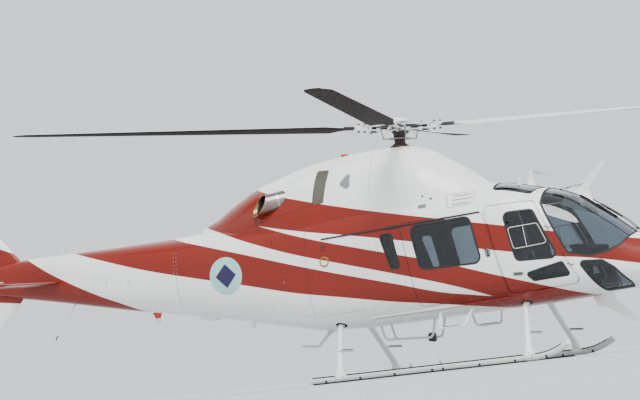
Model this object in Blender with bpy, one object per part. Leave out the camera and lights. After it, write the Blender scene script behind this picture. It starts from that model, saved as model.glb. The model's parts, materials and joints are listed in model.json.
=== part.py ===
"""Light single-engine helicopter on skids, with a four-blade main rotor.

Metres, +Z up, nose towards +X, port side towards +Y.
The shapes are drawn about the airframe datum: X and Y zero at the main rotor's
centre, Z zero at the bottom of the skid shoes.  The parent empty "airframe" then
puts the middle of the whole machine's box at X zero.
"""
from math import cos, pi, radians, sin, tan

import bmesh
import bpy
import numpy as np
from mathutils import Matrix, Vector

# Driving dimensions
HUB_FROM_MIDDLE = 0.9862             # main rotor centre ahead of the box's middle
ROTOR_RADIUS = 5.415
BLADE_CHORD = 0.335
BLADE_ROOT = 0.55
ROTOR_HEIGHT = 3.31
MAST_TILT = radians(4.3)             # forward
BLADE_CONE = radians(1.8)
BLADE_PITCHES = (0.0, 8.0, 12.0, 2.5, 2.0)   # degrees, at the five sections from root to tip
ROTOR_PARKED = radians(10.2)         # one blade points this far to port of the nose
TAIL_ROTOR_RADIUS = 0.97
TAIL_ROTOR_CHORD = 0.20
TAIL_ROTOR_HUB = (-6.625, 0.42, 2.45)
SKID_TRACK = 2.14
SKID_RADIUS = 0.045
SKID_HEIGHT = 0.055
SKID_BACK, SKID_BEND, SKID_TIP = -1.27, 1.86, 2.33
GEAR_TUBE_RADIUS = 0.038
STABILISER_SPAN = 2.88
FIN_TOP = 3.50
GAP = 0.0003                         # between pieces that touch
DOOR_GAP = 0.009                     # round a hinged door
DOOR_BEVEL = 0.5                     # drop of the crew door's sill for each metre outwards
DOOR_TOE = 0.008                     # extra room under the front foot of the crew door
CABIN_WALL = 0.040
REAR_WALL = 0.030
BOOM_WALL = 0.015
COWL_WALL = 0.025
GLASS_SET_IN, GLASS_THICK = 0.003, 0.006
HULL_POINTS = 32
ROOM_POINTS = 24                     # on the plainer inner surfaces

# Hull stations: place along X, roof, belly, half width, widest height, roundness power
HULL = np.array([
    (-6.55, 2.150, 1.800, 0.120, 1.975, 2.4),
    (-5.90, 2.205, 1.670, 0.175, 1.940, 2.5),
    (-5.40, 2.210, 1.570, 0.225, 1.890, 2.5),
    (-4.70, 2.210, 1.420, 0.290, 1.830, 2.5),
    (-4.00, 2.215, 1.270, 0.365, 1.770, 2.5),
    (-3.30, 2.225, 1.140, 0.455, 1.720, 2.5),
    (-2.50, 2.280, 0.975, 0.600, 1.650, 2.6),
    (-1.80, 2.330, 0.820, 0.715, 1.550, 2.8),
    (-1.25, 2.370, 0.715, 0.785, 1.470, 3.0),
    (-0.60, 2.400, 0.690, 0.825, 1.420, 3.2),
    (0.80, 2.410, 0.710, 0.835, 1.400, 3.3),
    (1.43, 2.370, 0.720, 0.830, 1.380, 3.3),
    (1.90, 2.260, 0.730, 0.805, 1.340, 3.1),
    (2.13, 2.200, 0.740, 0.780, 1.300, 3.0),
    (2.40, 2.085, 0.750, 0.735, 1.250, 2.8),
    (2.66, 1.900, 0.775, 0.675, 1.200, 2.6),
    (2.92, 1.700, 0.790, 0.600, 1.160, 2.4),
    (3.18, 1.490, 0.805, 0.510, 1.120, 2.3),
    (3.50, 1.350, 0.850, 0.355, 1.090, 2.2),
    (3.72, 1.240, 0.930, 0.200, 1.080, 2.1),
    (3.85, 1.130, 1.030, 0.050, 1.080, 2.0),
])
CABIN_BACK, BULKHEAD, REAR_END, BOOM_END = -1.25, -0.60, -3.30, -6.55
CABIN_STATIONS = (CABIN_BACK, -0.60, 0.10, 0.80, 1.20, 1.60, 1.90, 2.13, 2.40, 2.66,
                  2.92, 3.18, 3.50, 3.72, 3.85)
INNER_STATIONS = (CABIN_BACK, -0.60, 0.10, 0.80, 1.43, 1.90, 2.40, 2.80, 3.18, 3.50, 3.68)
REAR_STATIONS = (REAR_END, -2.90, -2.50, -2.15, -1.80, -1.50, CABIN_BACK)
BOOM_STATIONS = (BOOM_END, -5.90, -5.00, -4.00, REAR_END)

# Cowl stations: place along X, top, half width at the foot, roundness power
COWL = np.array([
    (-3.00, 2.300, 0.160, 2.2),
    (-2.76, 2.400, 0.290, 2.2),
    (-2.48, 2.560, 0.420, 2.2),
    (-2.12, 2.740, 0.540, 2.2),
    (-1.86, 2.820, 0.600, 2.2),
    (-1.26, 2.970, 0.680, 2.2),
    (-0.60, 3.040, 0.705, 2.2),
    (0.00, 3.055, 0.700, 2.2),
    (0.34, 2.985, 0.690, 2.2),
    (0.48, 2.910, 0.680, 2.2),
    (0.68, 2.770, 0.650, 2.2),
    (0.89, 2.640, 0.610, 2.2),
    (1.11, 2.460, 0.530, 2.2),
    (1.26, 2.370, 0.440, 2.2),
])
COWL_FOOT = 2.00
COWL_SPLIT = -0.30
FORWARD_COWL_STATIONS = (COWL_SPLIT, 0.00, 0.34, 0.48, 0.68, 0.89, 1.11, 1.26)
ENGINE_COWL_STATIONS = (-3.00, -2.76, -2.48, -2.12, -1.86, -1.26, -0.80, COWL_SPLIT)

# Openings in the side view, as corners (X, Z)
DOOR_FRONT_FOOT, DOOR_FRONT_HEAD = (2.490, 0.900), (1.940, 2.070)
DOOR_BACK_FOOT, DOOR_BACK_HEAD = (1.520, 0.900), (1.275, 2.070)
CREW_DOOR = (DOOR_BACK_FOOT, DOOR_FRONT_FOOT, DOOR_FRONT_HEAD, DOOR_BACK_HEAD)
CABIN_DOOR = ((0.270, 0.860), (1.518, 0.885), (1.275, 2.000), (0.110, 1.985))
CREW_WINDOW = ((1.67, 1.31), (2.23, 1.29), (1.93, 1.95), (1.54, 1.95))
LOWER_WINDOW = ((1.87, 1.03), (2.345, 1.05), (2.26, 1.23), (1.77, 1.13))
CABIN_WINDOW = ((0.36, 1.35), (1.21, 1.34), (1.09, 1.96), (0.26, 1.93))
SLOT_WINDOW = ((-0.04, 1.41), (0.08, 1.40), (0.00, 1.87), (-0.17, 1.87))
CHIN_WINDOW = ((2.69, 0.80), (3.09, 0.82), (2.90, 1.08), (2.76, 1.19), (2.46, 1.21))
WINDSHIELD = ((2.34, 1.34), (2.60, 1.27), (2.82, 1.29), (3.00, 1.37), (3.12, 1.50),
              (3.30, 2.40), (2.06, 2.40), (2.03, 2.02))
EYEBROW = ((1.39, 0.14), (2.00, 0.14), (1.88, 0.55), (1.39, 0.58))
CENTRE_POST = 0.030                  # half width of the post between the windshields
BAGGAGE_DOOR = ((-1.95, 1.25), (-1.38, 1.22), (-1.38, 1.84), (-1.93, 1.86))

WHITE = (0.87, 0.87, 0.86)
RED = (0.37, 0.06, 0.03)
DARK = (0.03, 0.03, 0.035)
GREY = (0.35, 0.36, 0.37)
STEEL = (0.55, 0.55, 0.56)
GLASS = (0.06, 0.08, 0.09)
CLOTH = (0.10, 0.10, 0.11)
BURNT = (0.36, 0.26, 0.17)


def fresh_scene():
    """Empty the scene and return the collections for parts and for cutters."""
    for old in list(bpy.data.objects):
        bpy.data.objects.remove(old, do_unlink=True)
    made = []
    for title in ("helicopter", "cutters"):
        group = bpy.data.collections.new(title)
        bpy.context.scene.collection.children.link(group)
        made.append(group)
    return made


PARTS, CUTTERS = fresh_scene()
AIRFRAME = bpy.data.objects.new("airframe", None)
AIRFRAME.location = (HUB_FROM_MIDDLE, 0.0, 0.0)
PARTS.objects.link(AIRFRAME)


def axis_empty(name, place, turn=Matrix.Identity(3)):
    """Empty on a joint's axis, carried by the airframe."""
    empty = bpy.data.objects.new(name, None)
    empty.parent = AIRFRAME
    empty.matrix_local = Matrix.Translation(place) @ turn.to_4x4()
    PARTS.objects.link(empty)
    return empty


def as_part(obj, name, colour, roughness=0.4, metallic=0.0, parent=None, place=(0, 0, 0)):
    """Name a solid, give it its own material and hang it on its parent."""
    obj.name = name
    obj.data.name = name
    paint = bpy.data.materials.new(name)
    paint.use_nodes = True
    shader = paint.node_tree.nodes["Principled BSDF"]
    shader.inputs["Base Color"].default_value = (*colour, 1.0)
    shader.inputs["Roughness"].default_value = roughness
    shader.inputs["Metallic"].default_value = metallic
    obj.data.materials.clear()
    obj.data.materials.append(paint)
    obj.data.shade_smooth()
    obj.data.set_sharp_from_angle(angle=radians(35))
    obj.parent = parent or AIRFRAME
    obj.location = place
    PARTS.objects.link(obj)
    return obj


def as_cutter(obj, name, parent=None):
    """Keep a shape as a guide that other solids are cut or joined with."""
    obj.name = name
    obj.hide_render = True
    obj.display_type = 'WIRE'
    obj.parent = parent or AIRFRAME
    CUTTERS.objects.link(obj)
    return obj


def boolean(obj, other, operation='DIFFERENCE'):
    """Cut, join or keep what is common, in place."""
    step = obj.modifiers.new(operation.lower(), 'BOOLEAN')
    step.operation = operation
    step.solver = 'EXACT'
    step.object = other
    return obj


def from_bmesh(bm):
    """Object of a closed bmesh with its faces pointing out."""
    bmesh.ops.recalc_face_normals(bm, faces=bm.faces)
    mesh = bpy.data.meshes.new("shape")
    bm.to_mesh(mesh)
    bm.free()
    return bpy.data.objects.new("shape", mesh)


def from_faces(points, faces):
    """Object of a closed skin given by its points and faces."""
    bm = bmesh.new()
    corners = [bm.verts.new(point) for point in points]
    for face in faces:
        bm.faces.new([corners[i] for i in face])
    return from_bmesh(bm)


def box(low, high):
    """Block between two corners."""
    low, high = Vector(low), Vector(high)
    bm = bmesh.new()
    place = Matrix.Translation((low + high) / 2) @ Matrix.Diagonal((*(high - low), 1.0))
    bmesh.ops.create_cube(bm, size=1.0, matrix=place)
    return from_bmesh(bm)


def rod(start, end, radius, end_radius=None, sides=16):
    """Straight round bar, or a cone where the second radius differs."""
    start, end = Vector(start), Vector(end)
    along = end - start
    turn = along.to_track_quat('Z', 'Y').to_matrix().to_4x4()
    bm = bmesh.new()
    bmesh.ops.create_cone(bm, cap_ends=True, segments=sides, radius1=radius,
                          radius2=radius if end_radius is None else end_radius,
                          depth=along.length,
                          matrix=Matrix.Translation((start + end) / 2) @ turn)
    return from_bmesh(bm)


def from_curve(curve):
    """Mesh object of a curve, with its caps welded."""
    holder = bpy.data.objects.new("curve", curve)
    bpy.context.scene.collection.objects.link(holder)
    bpy.context.view_layer.update()
    mesh = bpy.data.meshes.new_from_object(
        holder.evaluated_get(bpy.context.evaluated_depsgraph_get()))
    bpy.data.objects.remove(holder, do_unlink=True)
    bm = bmesh.new()
    bm.from_mesh(mesh)
    bmesh.ops.remove_doubles(bm, verts=bm.verts, dist=0.00005)
    return from_bmesh(bm)


def bent_tube(points, radius, roundness=3):
    """Round tube along a row of points, with closed ends."""
    curve = bpy.data.curves.new("tube", 'CURVE')
    curve.dimensions = '3D'
    curve.bevel_depth = radius
    curve.bevel_resolution = roundness
    curve.use_fill_caps = True
    spline = curve.splines.new('POLY')
    spline.points.add(len(points) - 1)
    for knot, point in zip(spline.points, points):
        knot.co = (*point, 1.0)
    return from_curve(curve)


def eased(points, radius, steps=2):
    """Open path with each inner corner turned into an arc of the given radius."""
    points = [Vector(p) for p in points]
    path = [points[0]]
    for before, corner, after in zip(points, points[1:], points[2:]):
        path += corner_arc(before, corner, after, radius, steps)
    return path + [points[-1]]


def rounded(corners, radius, steps=2):
    """Closed outline with each corner turned into an arc of the given radius."""
    corners = [Vector(c) for c in corners]
    path = []
    for i, corner in enumerate(corners):
        after = corners[(i + 1) % len(corners)]
        path += corner_arc(corners[i - 1], corner, after, radius, steps)
    return path


def corner_arc(before, corner, after, radius, steps):
    """Points of the arc that touches both legs of a corner."""
    leg_in = (before - corner).normalized()
    leg_out = (after - corner).normalized()
    half = leg_in.angle(leg_out) / 2
    reach = min(radius / tan(half), 0.45 * (before - corner).length,
                0.45 * (after - corner).length)
    radius = reach * tan(half)
    middle = corner + (leg_in + leg_out).normalized() * (radius / sin(half))
    first = corner + leg_in * reach - middle
    last = corner + leg_out * reach - middle
    arc = []
    for step in range(steps + 1):
        share = step / steps
        sweep = pi - 2 * half
        lean = first * sin((1 - share) * sweep) + last * sin(share * sweep)
        arc.append(middle + lean.normalized() * radius)
    return arc


def grown(corners, amount):
    """Polygon with every side moved out by the same amount (corners anticlockwise)."""
    corners = [Vector(c) for c in corners]
    moved = []
    for i, corner in enumerate(corners):
        into = (corner - corners[i - 1]).normalized()
        away = (corners[(i + 1) % len(corners)] - corner).normalized()
        out_in = Vector((into.y, -into.x))
        out_away = Vector((away.y, -away.x))
        moved.append(corner + (out_in + out_away) * (amount / (1 + out_in.dot(out_away))))
    return moved


def plate(outline, low, high, along='Y'):
    """Flat outline carried along Y (drawn in X, Z) or along Z (drawn in X, Y)."""
    curve = bpy.data.curves.new("outline", 'CURVE')
    curve.dimensions = '2D'
    curve.fill_mode = 'BOTH'
    curve.extrude = (high - low) / 2
    spline = curve.splines.new('POLY')
    spline.points.add(len(outline) - 1)
    for knot, point in zip(spline.points, outline):
        knot.co = (point[0], point[1], 0.0, 1.0)
    spline.use_cyclic_u = True
    solid = from_curve(curve)
    middle = (low + high) / 2
    if along == 'Y':
        place = Matrix.Translation((0, middle, 0)) @ Matrix.Rotation(pi / 2, 4, 'X')
    else:
        place = Matrix.Translation((0, 0, middle))
    solid.data.transform(place)
    return solid


def smooth_row(table, x):
    """Values of a station table at x, on smooth curves that never overshoot."""
    places, values = table[:, 0], table[:, 1:]
    steps = np.diff(places)[:, None]
    slopes = np.diff(values, axis=0) / steps
    ends = np.vstack([slopes[:1], slopes, slopes[-1:]])
    before, after = ends[:-1], ends[1:]
    same_way = before * after > 0
    tangents = np.where(same_way, 2 * before * after / np.where(same_way, before + after, 1), 0)
    i = int(np.clip(np.searchsorted(places, x) - 1, 0, len(places) - 2))
    span = steps[i, 0]
    t = (x - places[i]) / span
    return ((2 * t ** 3 - 3 * t ** 2 + 1) * values[i] + (t ** 3 - 2 * t ** 2 + t) * span * tangents[i]
            + (3 * t ** 2 - 2 * t ** 3) * values[i + 1] + (t ** 3 - t ** 2) * span * tangents[i + 1])


def hull_ring(x, inset=0.0, around=HULL_POINTS):
    """Rounded section of the hull at one station: a superellipse about the widest height."""
    roof, belly, half, widest, power = smooth_row(HULL, x)
    angle = np.arange(around) * 2 * pi / around
    across = np.sign(np.cos(angle)) * np.abs(np.cos(angle)) ** (2 / power)
    upright = np.sign(np.sin(angle)) * np.abs(np.sin(angle)) ** (2 / power)
    reach = np.where(upright > 0, roof - inset - widest, widest - belly - inset)
    return np.column_stack([np.full(around, x), (half - inset) * across,
                            widest + reach * upright])


def hull_side(x, z):
    """Half width of the hull's skin at a place in the side view."""
    roof, belly, half, widest, power = smooth_row(HULL, x)
    share = (z - widest) / (roof - widest) if z > widest else (widest - z) / (widest - belly)
    return half * (1 - min(abs(share), 1.0) ** power) ** (1 / power)


def cowl_ring(x, inset=0.0, around=19):
    """Half superellipse over the deck, closed by a flat foot below it."""
    top, half, power = smooth_row(COWL, x)
    angle = np.arange(around) * pi / (around - 1)
    across = np.sign(np.cos(angle)) * np.abs(np.cos(angle)) ** (2 / power)
    upright = np.abs(np.sin(angle)) ** (2 / power)
    return np.column_stack([np.full(around, x), (half - inset) * across,
                            COWL_FOOT - inset + (top - COWL_FOOT) * upright])


def skin_faces(rows, around, first=0, flip=False):
    """Triangles between neighbouring rings, always split along the same diagonal."""
    faces = []
    for i in range(rows - 1):
        for j in range(around):
            a = first + i * around + j
            b = first + i * around + (j + 1) % around
            pair = ((a, b, b + around), (a, b + around, a + around))
            faces += [face[::-1] for face in pair] if flip else list(pair)
    return faces


def loft(rings):
    """Closed solid through a row of rings, with flat ends."""
    rows, around = len(rings), len(rings[0])
    faces = skin_faces(rows, around)
    faces.append(tuple(range(around - 1, -1, -1)))
    faces.append(tuple(range((rows - 1) * around, rows * around)))
    return from_faces(np.concatenate(rings), faces)


def band(stations, outer_inset, inner_inset):
    """Open-ended shell between two insets of the hull."""
    outer = [hull_ring(x, outer_inset) for x in stations]
    inner = [hull_ring(x, inner_inset) for x in stations]
    rows, around = len(stations), HULL_POINTS
    start = rows * around
    faces = skin_faces(rows, around) + skin_faces(rows, around, start, flip=True)
    for row, turned in ((0, False), (rows - 1, True)):
        for j in range(around):
            a, b = row * around + j, row * around + (j + 1) % around
            face = (a, start + a, start + b, b)
            faces.append(face[::-1] if turned else face)
    return from_faces(np.concatenate(outer + inner), faces)


def hull_solid(stations, inset=0.0, around=HULL_POINTS):
    """Filled hull through the given stations."""
    return loft([hull_ring(x, inset, around) for x in stations])


def near(stations, low, high):
    """The stations that reach over a stretch of the hull."""
    inside = [x for x in stations if low <= x <= high]
    before = [x for x in stations if x < low][-1:]
    after = [x for x in stations if x > high][:1]
    return before + inside + after


# The hull a hair larger, for whatever rests on it
HULL_SEAT = as_cutter(hull_solid(BOOM_STATIONS[:-1] + REAR_STATIONS[:-1] + CABIN_STATIONS, -GAP),
                      "hull_seat")


def on_hull(obj):
    """Cut a piece so that it rests on the hull's skin."""
    return boolean(obj, HULL_SEAT)


def side_cutter(name, outline, amount, radius, both=True):
    """Side-view outline through one or both walls, moved out by an amount."""
    shape = rounded(grown(outline, amount), radius + amount)
    return as_cutter(plate(shape, -1.2 if both else 0.3, 1.2), name)


def sill_wedge(tag, side, gap, radius):
    """Crew door outline whose sill slopes down and outwards, so the door can swing clear of it."""
    back_foot, front_foot, front_head, back_head = (Vector(c) for c in CREW_DOOR)
    rings = []
    for reach in (0.3, 1.2):
        lift = -DOOR_BEVEL * (reach - 0.71) / (front_head.y - front_foot.y)
        foot = front_foot.lerp(front_head, lift)
        heel = back_foot.lerp(back_head, lift)
        corners = grown((heel, foot, front_head, back_head), -gap)
        if gap:
            corners[1] = corners[1].lerp(corners[2], DOOR_TOE / (corners[2].y - corners[1].y))
        rings.append(np.array([(p.x, side * reach, p.y) for p in rounded(corners, radius)]))
    return as_cutter(loft(rings), "crew_door_%s_%s" % ("leaf" if gap else "hole", tag))


def gear_path(saddle_x, entry_x):
    """Centre line of a cross tube from the starboard to the port skid."""
    half = SKID_TRACK / 2
    leg = [(saddle_x, half, SKID_HEIGHT + 0.06), (saddle_x - 0.01, half - 0.03, 0.20),
           (entry_x, 0.545, 0.735), (entry_x, 0.40, 0.795)]
    port = eased(leg + [(entry_x, 0.0, 0.795)], 0.12)
    starboard = [Vector((p.x, -p.y, p.z)) for p in port[:-1]]
    return starboard + port[::-1]


GEAR = {"front": (1.78, 1.64), "rear": (-0.82, -0.95)}


def landing_gear():
    """Skids with flat shoes, cross tubes with saddles and short foot bars."""
    half = SKID_TRACK / 2
    rise = [(SKID_BEND + 0.47 * s, SKID_HEIGHT + 0.145 * s ** 2) for s in np.linspace(0, 1, 6)]
    seats = []
    for side, tag in ((1, "left"), (-1, "right")):
        path = [(SKID_BACK, side * half, SKID_HEIGHT)] + [(x, side * half, z) for x, z in rise]
        tube = bent_tube(path, SKID_RADIUS, 4)
        shoe = as_cutter(box((SKID_BACK + 0.06, side * half - 0.028, 0.0),
                             (SKID_BEND - 0.12, side * half + 0.028, 0.035)), "shoe_" + tag)
        boolean(as_part(tube, "skid_" + tag, GREY, 0.45, 0.3), shoe, 'UNION')
        seats.append(as_cutter(bent_tube(path, SKID_RADIUS + GAP, 4), "skid_seat_" + tag))
    for tag, (saddle_x, entry_x) in GEAR.items():
        tube = bent_tube(gear_path(saddle_x, entry_x), GEAR_TUBE_RADIUS, 3)
        as_part(tube, "cross_tube_" + tag, WHITE, 0.35)
        for side in (1, -1):
            saddle = box((saddle_x - 0.08, side * half - 0.052, SKID_HEIGHT),
                         (saddle_x + 0.08, side * half + 0.052, SKID_HEIGHT + 0.075))
            boolean(tube, as_cutter(saddle, "saddle"), 'UNION')
            higher = 0.05 if tag == "rear" else 0.0
            foot = rod((saddle_x - 0.05, side * 0.90, 0.37 + higher),
                       (saddle_x + 0.17, side * 0.93, 0.35 + higher), 0.016, sides=10)
            boolean(tube, as_cutter(foot, "foot_bar"), 'UNION')
        for seat in seats:
            boolean(tube, seat)


def gear_openings(shell):
    """Cut the cross tubes' ways into the belly and stand cradles under them."""
    for tag, (saddle_x, entry_x) in GEAR.items():
        path = gear_path(saddle_x, entry_x)
        boolean(shell, as_cutter(bent_tube(path, GEAR_TUBE_RADIUS + 0.018, 2), "gear_way_" + tag))
        for side in (1, -1):
            low, high = sorted((side * 0.27, side * 0.37))
            pad = box((entry_x - 0.06, low, 0.72), (entry_x + 0.06, high, 0.790))
            boolean(shell, as_cutter(pad, "gear_cradle"), 'UNION')
        boolean(shell, as_cutter(bent_tube(path, GEAR_TUBE_RADIUS + GAP, 3), "gear_seat_" + tag))


def hinge_line():
    """Crew door axis (port side): foot and head points, just outside the skin all the way."""
    foot, head = Vector((*DOOR_FRONT_FOOT, 0)), Vector((*DOOR_FRONT_HEAD, 0))
    lift = DOOR_GAP / 2

    def skin(share):
        spot = foot.lerp(head, share)
        return Vector((spot.x + lift, hull_side(spot.x + lift, spot.y), spot.y))

    low, high = skin(0.06), skin(0.90)
    bulge = max(skin(s).y - low.lerp(high, (s - 0.06) / 0.84).y for s in np.linspace(0.0, 0.97, 30))
    out = Vector((0, bulge + 0.013, 0))
    return low + out, high + out


def knuckles(shell, door, foot, head, shares):
    """Hinge barrels in line with the axis: the lower half on the shell, the upper on the door."""
    along = (head - foot).normalized()
    length, radius, bite = 0.045, 0.008, 0.018
    side = 1 if foot.y > 0 else -1
    for share in shares:
        spot = foot.lerp(head, share)
        for owner, low, high, way in ((shell, -length, -GAP / 2, 1), (door, GAP / 2, length, -1)):
            ends = spot + along * low, spot + along * high
            barrel = as_cutter(rod(*ends, radius, sides=10), "barrel")
            root = ends[0].lerp(ends[1], 0.5)
            seat_x = root.x + 0.030 * way
            seat = Vector((seat_x, side * (hull_side(seat_x, root.z) - bite), root.z))
            strap = strap_box(root, seat, along, abs(high - low) - 0.004, 0.008)
            boolean(owner, as_cutter(strap, "hinge_strap"), 'UNION')
            boolean(owner, barrel, 'UNION')


def strap_box(start, end, across, width, thick):
    """Bar from start to end, its width lying along a given direction."""
    way = (end - start).normalized()
    across = (across - way * across.dot(way)).normalized()
    turn = Matrix((way, across, way.cross(across))).transposed().to_4x4()
    bm = bmesh.new()
    size = Matrix.Diagonal(((end - start).length, width, thick, 1.0))
    bmesh.ops.create_cube(bm, size=1.0,
                          matrix=Matrix.Translation((start + end) / 2) @ turn @ size)
    return from_bmesh(bm)


def cabin():
    """Cabin shell with its bulkhead, hinged crew doors, sliding doors, floor and glass."""
    shell = as_part(hull_solid(CABIN_STATIONS), "cabin_shell", WHITE, 0.3)
    room = hull_solid((BULKHEAD + CABIN_WALL,) + INNER_STATIONS[2:], CABIN_WALL, ROOM_POINTS)
    boolean(shell, as_cutter(room, "cabin_room"))
    tank_bay = hull_solid((CABIN_BACK - 0.02, -0.90, BULKHEAD), CABIN_WALL, ROOM_POINTS)
    boolean(shell, as_cutter(tank_bay, "tank_bay"))
    wall = near(CABIN_STATIONS, 0.0, 2.6)

    cabin_hole = side_cutter("cabin_door_hole", CABIN_DOOR, 0.0, 0.07)
    slot_hole = side_cutter("slot_hole", SLOT_WINDOW, 0.0, 0.05)
    crew_pane = side_cutter("crew_window_hole", CREW_WINDOW, 0.0, 0.07)
    lower_pane = side_cutter("lower_window_hole", LOWER_WINDOW, 0.0, 0.03)
    cabin_pane = side_cutter("cabin_window_hole", CABIN_WINDOW, 0.0, 0.09)
    for hole in (cabin_hole, slot_hole):
        boolean(shell, hole)

    foot, head = hinge_line()
    for side, tag in ((1, "left"), (-1, "right")):
        flip = Vector((1, side, 1))
        low, high = foot * flip, head * flip
        reach = sorted((side * 0.3, side * 1.2))
        boolean(shell, sill_wedge(tag, side, 0.0, 0.07))
        hinge = axis_empty("crew_door_%s_axis" % tag, low)
        door = as_part(band(wall, 0.0, CABIN_WALL), "crew_door_" + tag, WHITE, 0.3,
                       parent=hinge, place=-low)
        boolean(door, sill_wedge(tag, side, DOOR_GAP, 0.07 - DOOR_GAP), 'INTERSECT')
        boolean(boolean(door, crew_pane), lower_pane)
        knuckles(shell, door, low, high, (0.22, 0.74))
        for title, outline, radius, parent in (("crew_window_", CREW_WINDOW, 0.07, hinge),
                                               ("lower_window_", LOWER_WINDOW, 0.03, hinge),
                                               ("cabin_window_", CABIN_WINDOW, 0.09, None),
                                               ("slot_window_", SLOT_WINDOW, 0.05, None)):
            pane = as_part(band(wall if "slot" not in title else near(CABIN_STATIONS, -0.3, 0.3),
                                GLASS_SET_IN, GLASS_SET_IN + GLASS_THICK), title + tag, GLASS, 0.05,
                           parent=parent, place=-low if parent else (0, 0, 0))
            shape = plate(rounded(grown(outline, -GAP), radius), *reach)
            boolean(pane, as_cutter(shape, title + "outline"), 'INTERSECT')
        slide = as_part(band(near(CABIN_STATIONS, 0.0, 1.6), 0.0, CABIN_WALL),
                        "cabin_door_" + tag, WHITE, 0.3)
        shape = plate(rounded(grown(CABIN_DOOR, -GAP), 0.07), *reach)
        boolean(slide, as_cutter(shape, "cabin_door_leaf"), 'INTERSECT')
        boolean(slide, cabin_pane)

        front = near(CABIN_STATIONS, 2.0, 3.3)
        for title, outline, radius, inner, stations in (
                ("windshield_", WINDSHIELD, 0.05, CENTRE_POST, front),
                ("chin_window_", CHIN_WINDOW, 0.04, 0.12, front)):
            near_y, far_y = sorted((side * inner, side * 1.2))
            hole = as_cutter(plate(rounded(outline, radius), near_y, far_y), title + "hole")
            boolean(shell, hole)
            trim = GAP * (1 if side > 0 else -1)
            pane = as_part(band(stations, GLASS_SET_IN, GLASS_SET_IN + GLASS_THICK),
                           title + tag, GLASS, 0.05)
            limits = sorted((side * inner + trim, side * 1.2))
            shape = plate(rounded(grown(outline, -GAP), radius), *limits)
            boolean(pane, as_cutter(shape, title + "outline"), 'INTERSECT')
        brow = [(x, side * y) for x, y in (EYEBROW if side > 0 else EYEBROW[::-1])]
        hole = as_cutter(plate(rounded(brow, 0.05), 1.9, 2.6, 'Z'), "eyebrow_hole")
        boolean(shell, hole)
        pane = as_part(band(near(CABIN_STATIONS, 1.3, 2.1), GLASS_SET_IN,
                            GLASS_SET_IN + GLASS_THICK), "eyebrow_" + tag, GLASS, 0.05)
        shape = plate(rounded(grown(brow, -GAP), 0.05), 1.9, 2.6, 'Z')
        boolean(pane, as_cutter(shape, "eyebrow_outline"), 'INTERSECT')
    gear_openings(shell)

    floor = as_part(box((BULKHEAD + CABIN_WALL + GAP, -0.9, 0.84), (2.45, 0.9, 0.88)),
                    "cabin_floor", GREY, 0.7)
    inside = hull_solid((BULKHEAD - 0.1,) + INNER_STATIONS[2:], CABIN_WALL + GAP, ROOM_POINTS)
    boolean(floor, as_cutter(inside, "floor_limit"), 'INTERSECT')


def rear_fuselage():
    """Hollow rear fuselage with the baggage door, and the hollow tail boom."""
    x0, x1 = REAR_END + GAP, CABIN_BACK - GAP
    rear = as_part(hull_solid((x0,) + REAR_STATIONS[1:-1] + (x1,)), "rear_fuselage", WHITE, 0.3)
    hollow = hull_solid((x0 - 0.05, -2.5, -1.8, x1 + 0.05), REAR_WALL, ROOM_POINTS)
    boolean(rear, as_cutter(hollow, "rear_hollow"))
    hole = side_cutter("baggage_hole", BAGGAGE_DOOR, 0.0, 0.06, both=False)
    boolean(rear, hole)
    edge_x = BAGGAGE_DOOR[1][0] - DOOR_GAP / 2
    low_z, high_z = BAGGAGE_DOOR[1][1] + 0.06, BAGGAGE_DOOR[2][1] - 0.06
    out = max(hull_side(edge_x, z) for z in np.linspace(low_z, high_z, 9)) + 0.013
    low, high = Vector((edge_x, out, low_z)), Vector((edge_x, out, high_z))
    hinge = axis_empty("baggage_door_axis", low)
    door = as_part(band(REAR_STATIONS, 0.0, REAR_WALL), "baggage_door", WHITE, 0.3,
                   parent=hinge, place=-low)
    leaf = plate(rounded(grown(BAGGAGE_DOOR, -DOOR_GAP), 0.06 - DOOR_GAP), 0.3, 1.2)
    boolean(door, as_cutter(leaf, "baggage_leaf"), 'INTERSECT')
    knuckles(rear, door, low, high, (0.15, 0.80))

    boom = as_part(hull_solid((BOOM_STATIONS)), "tail_boom", WHITE, 0.3)
    hollow = hull_solid((-6.40, -5.90, -5.00, -4.00, REAR_END + 0.05), BOOM_WALL, ROOM_POINTS)
    boolean(boom, as_cutter(hollow, "boom_hollow"))


def wing_ring(front, back, thick, around=12):
    """Aerofoil section between its front and back edge, thickest a third of the way back."""
    front, back = Vector(front), Vector(back)
    chord = back - front
    thick = Vector(thick)
    ring = []
    for j in range(around):
        angle = 2 * pi * j / around
        share = (1 - cos(angle)) / 2
        bulge = sin(angle) * (1 - 0.55 * share)
        ring.append(front + chord * share + thick * bulge / 2)
    return np.array(ring)


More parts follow.
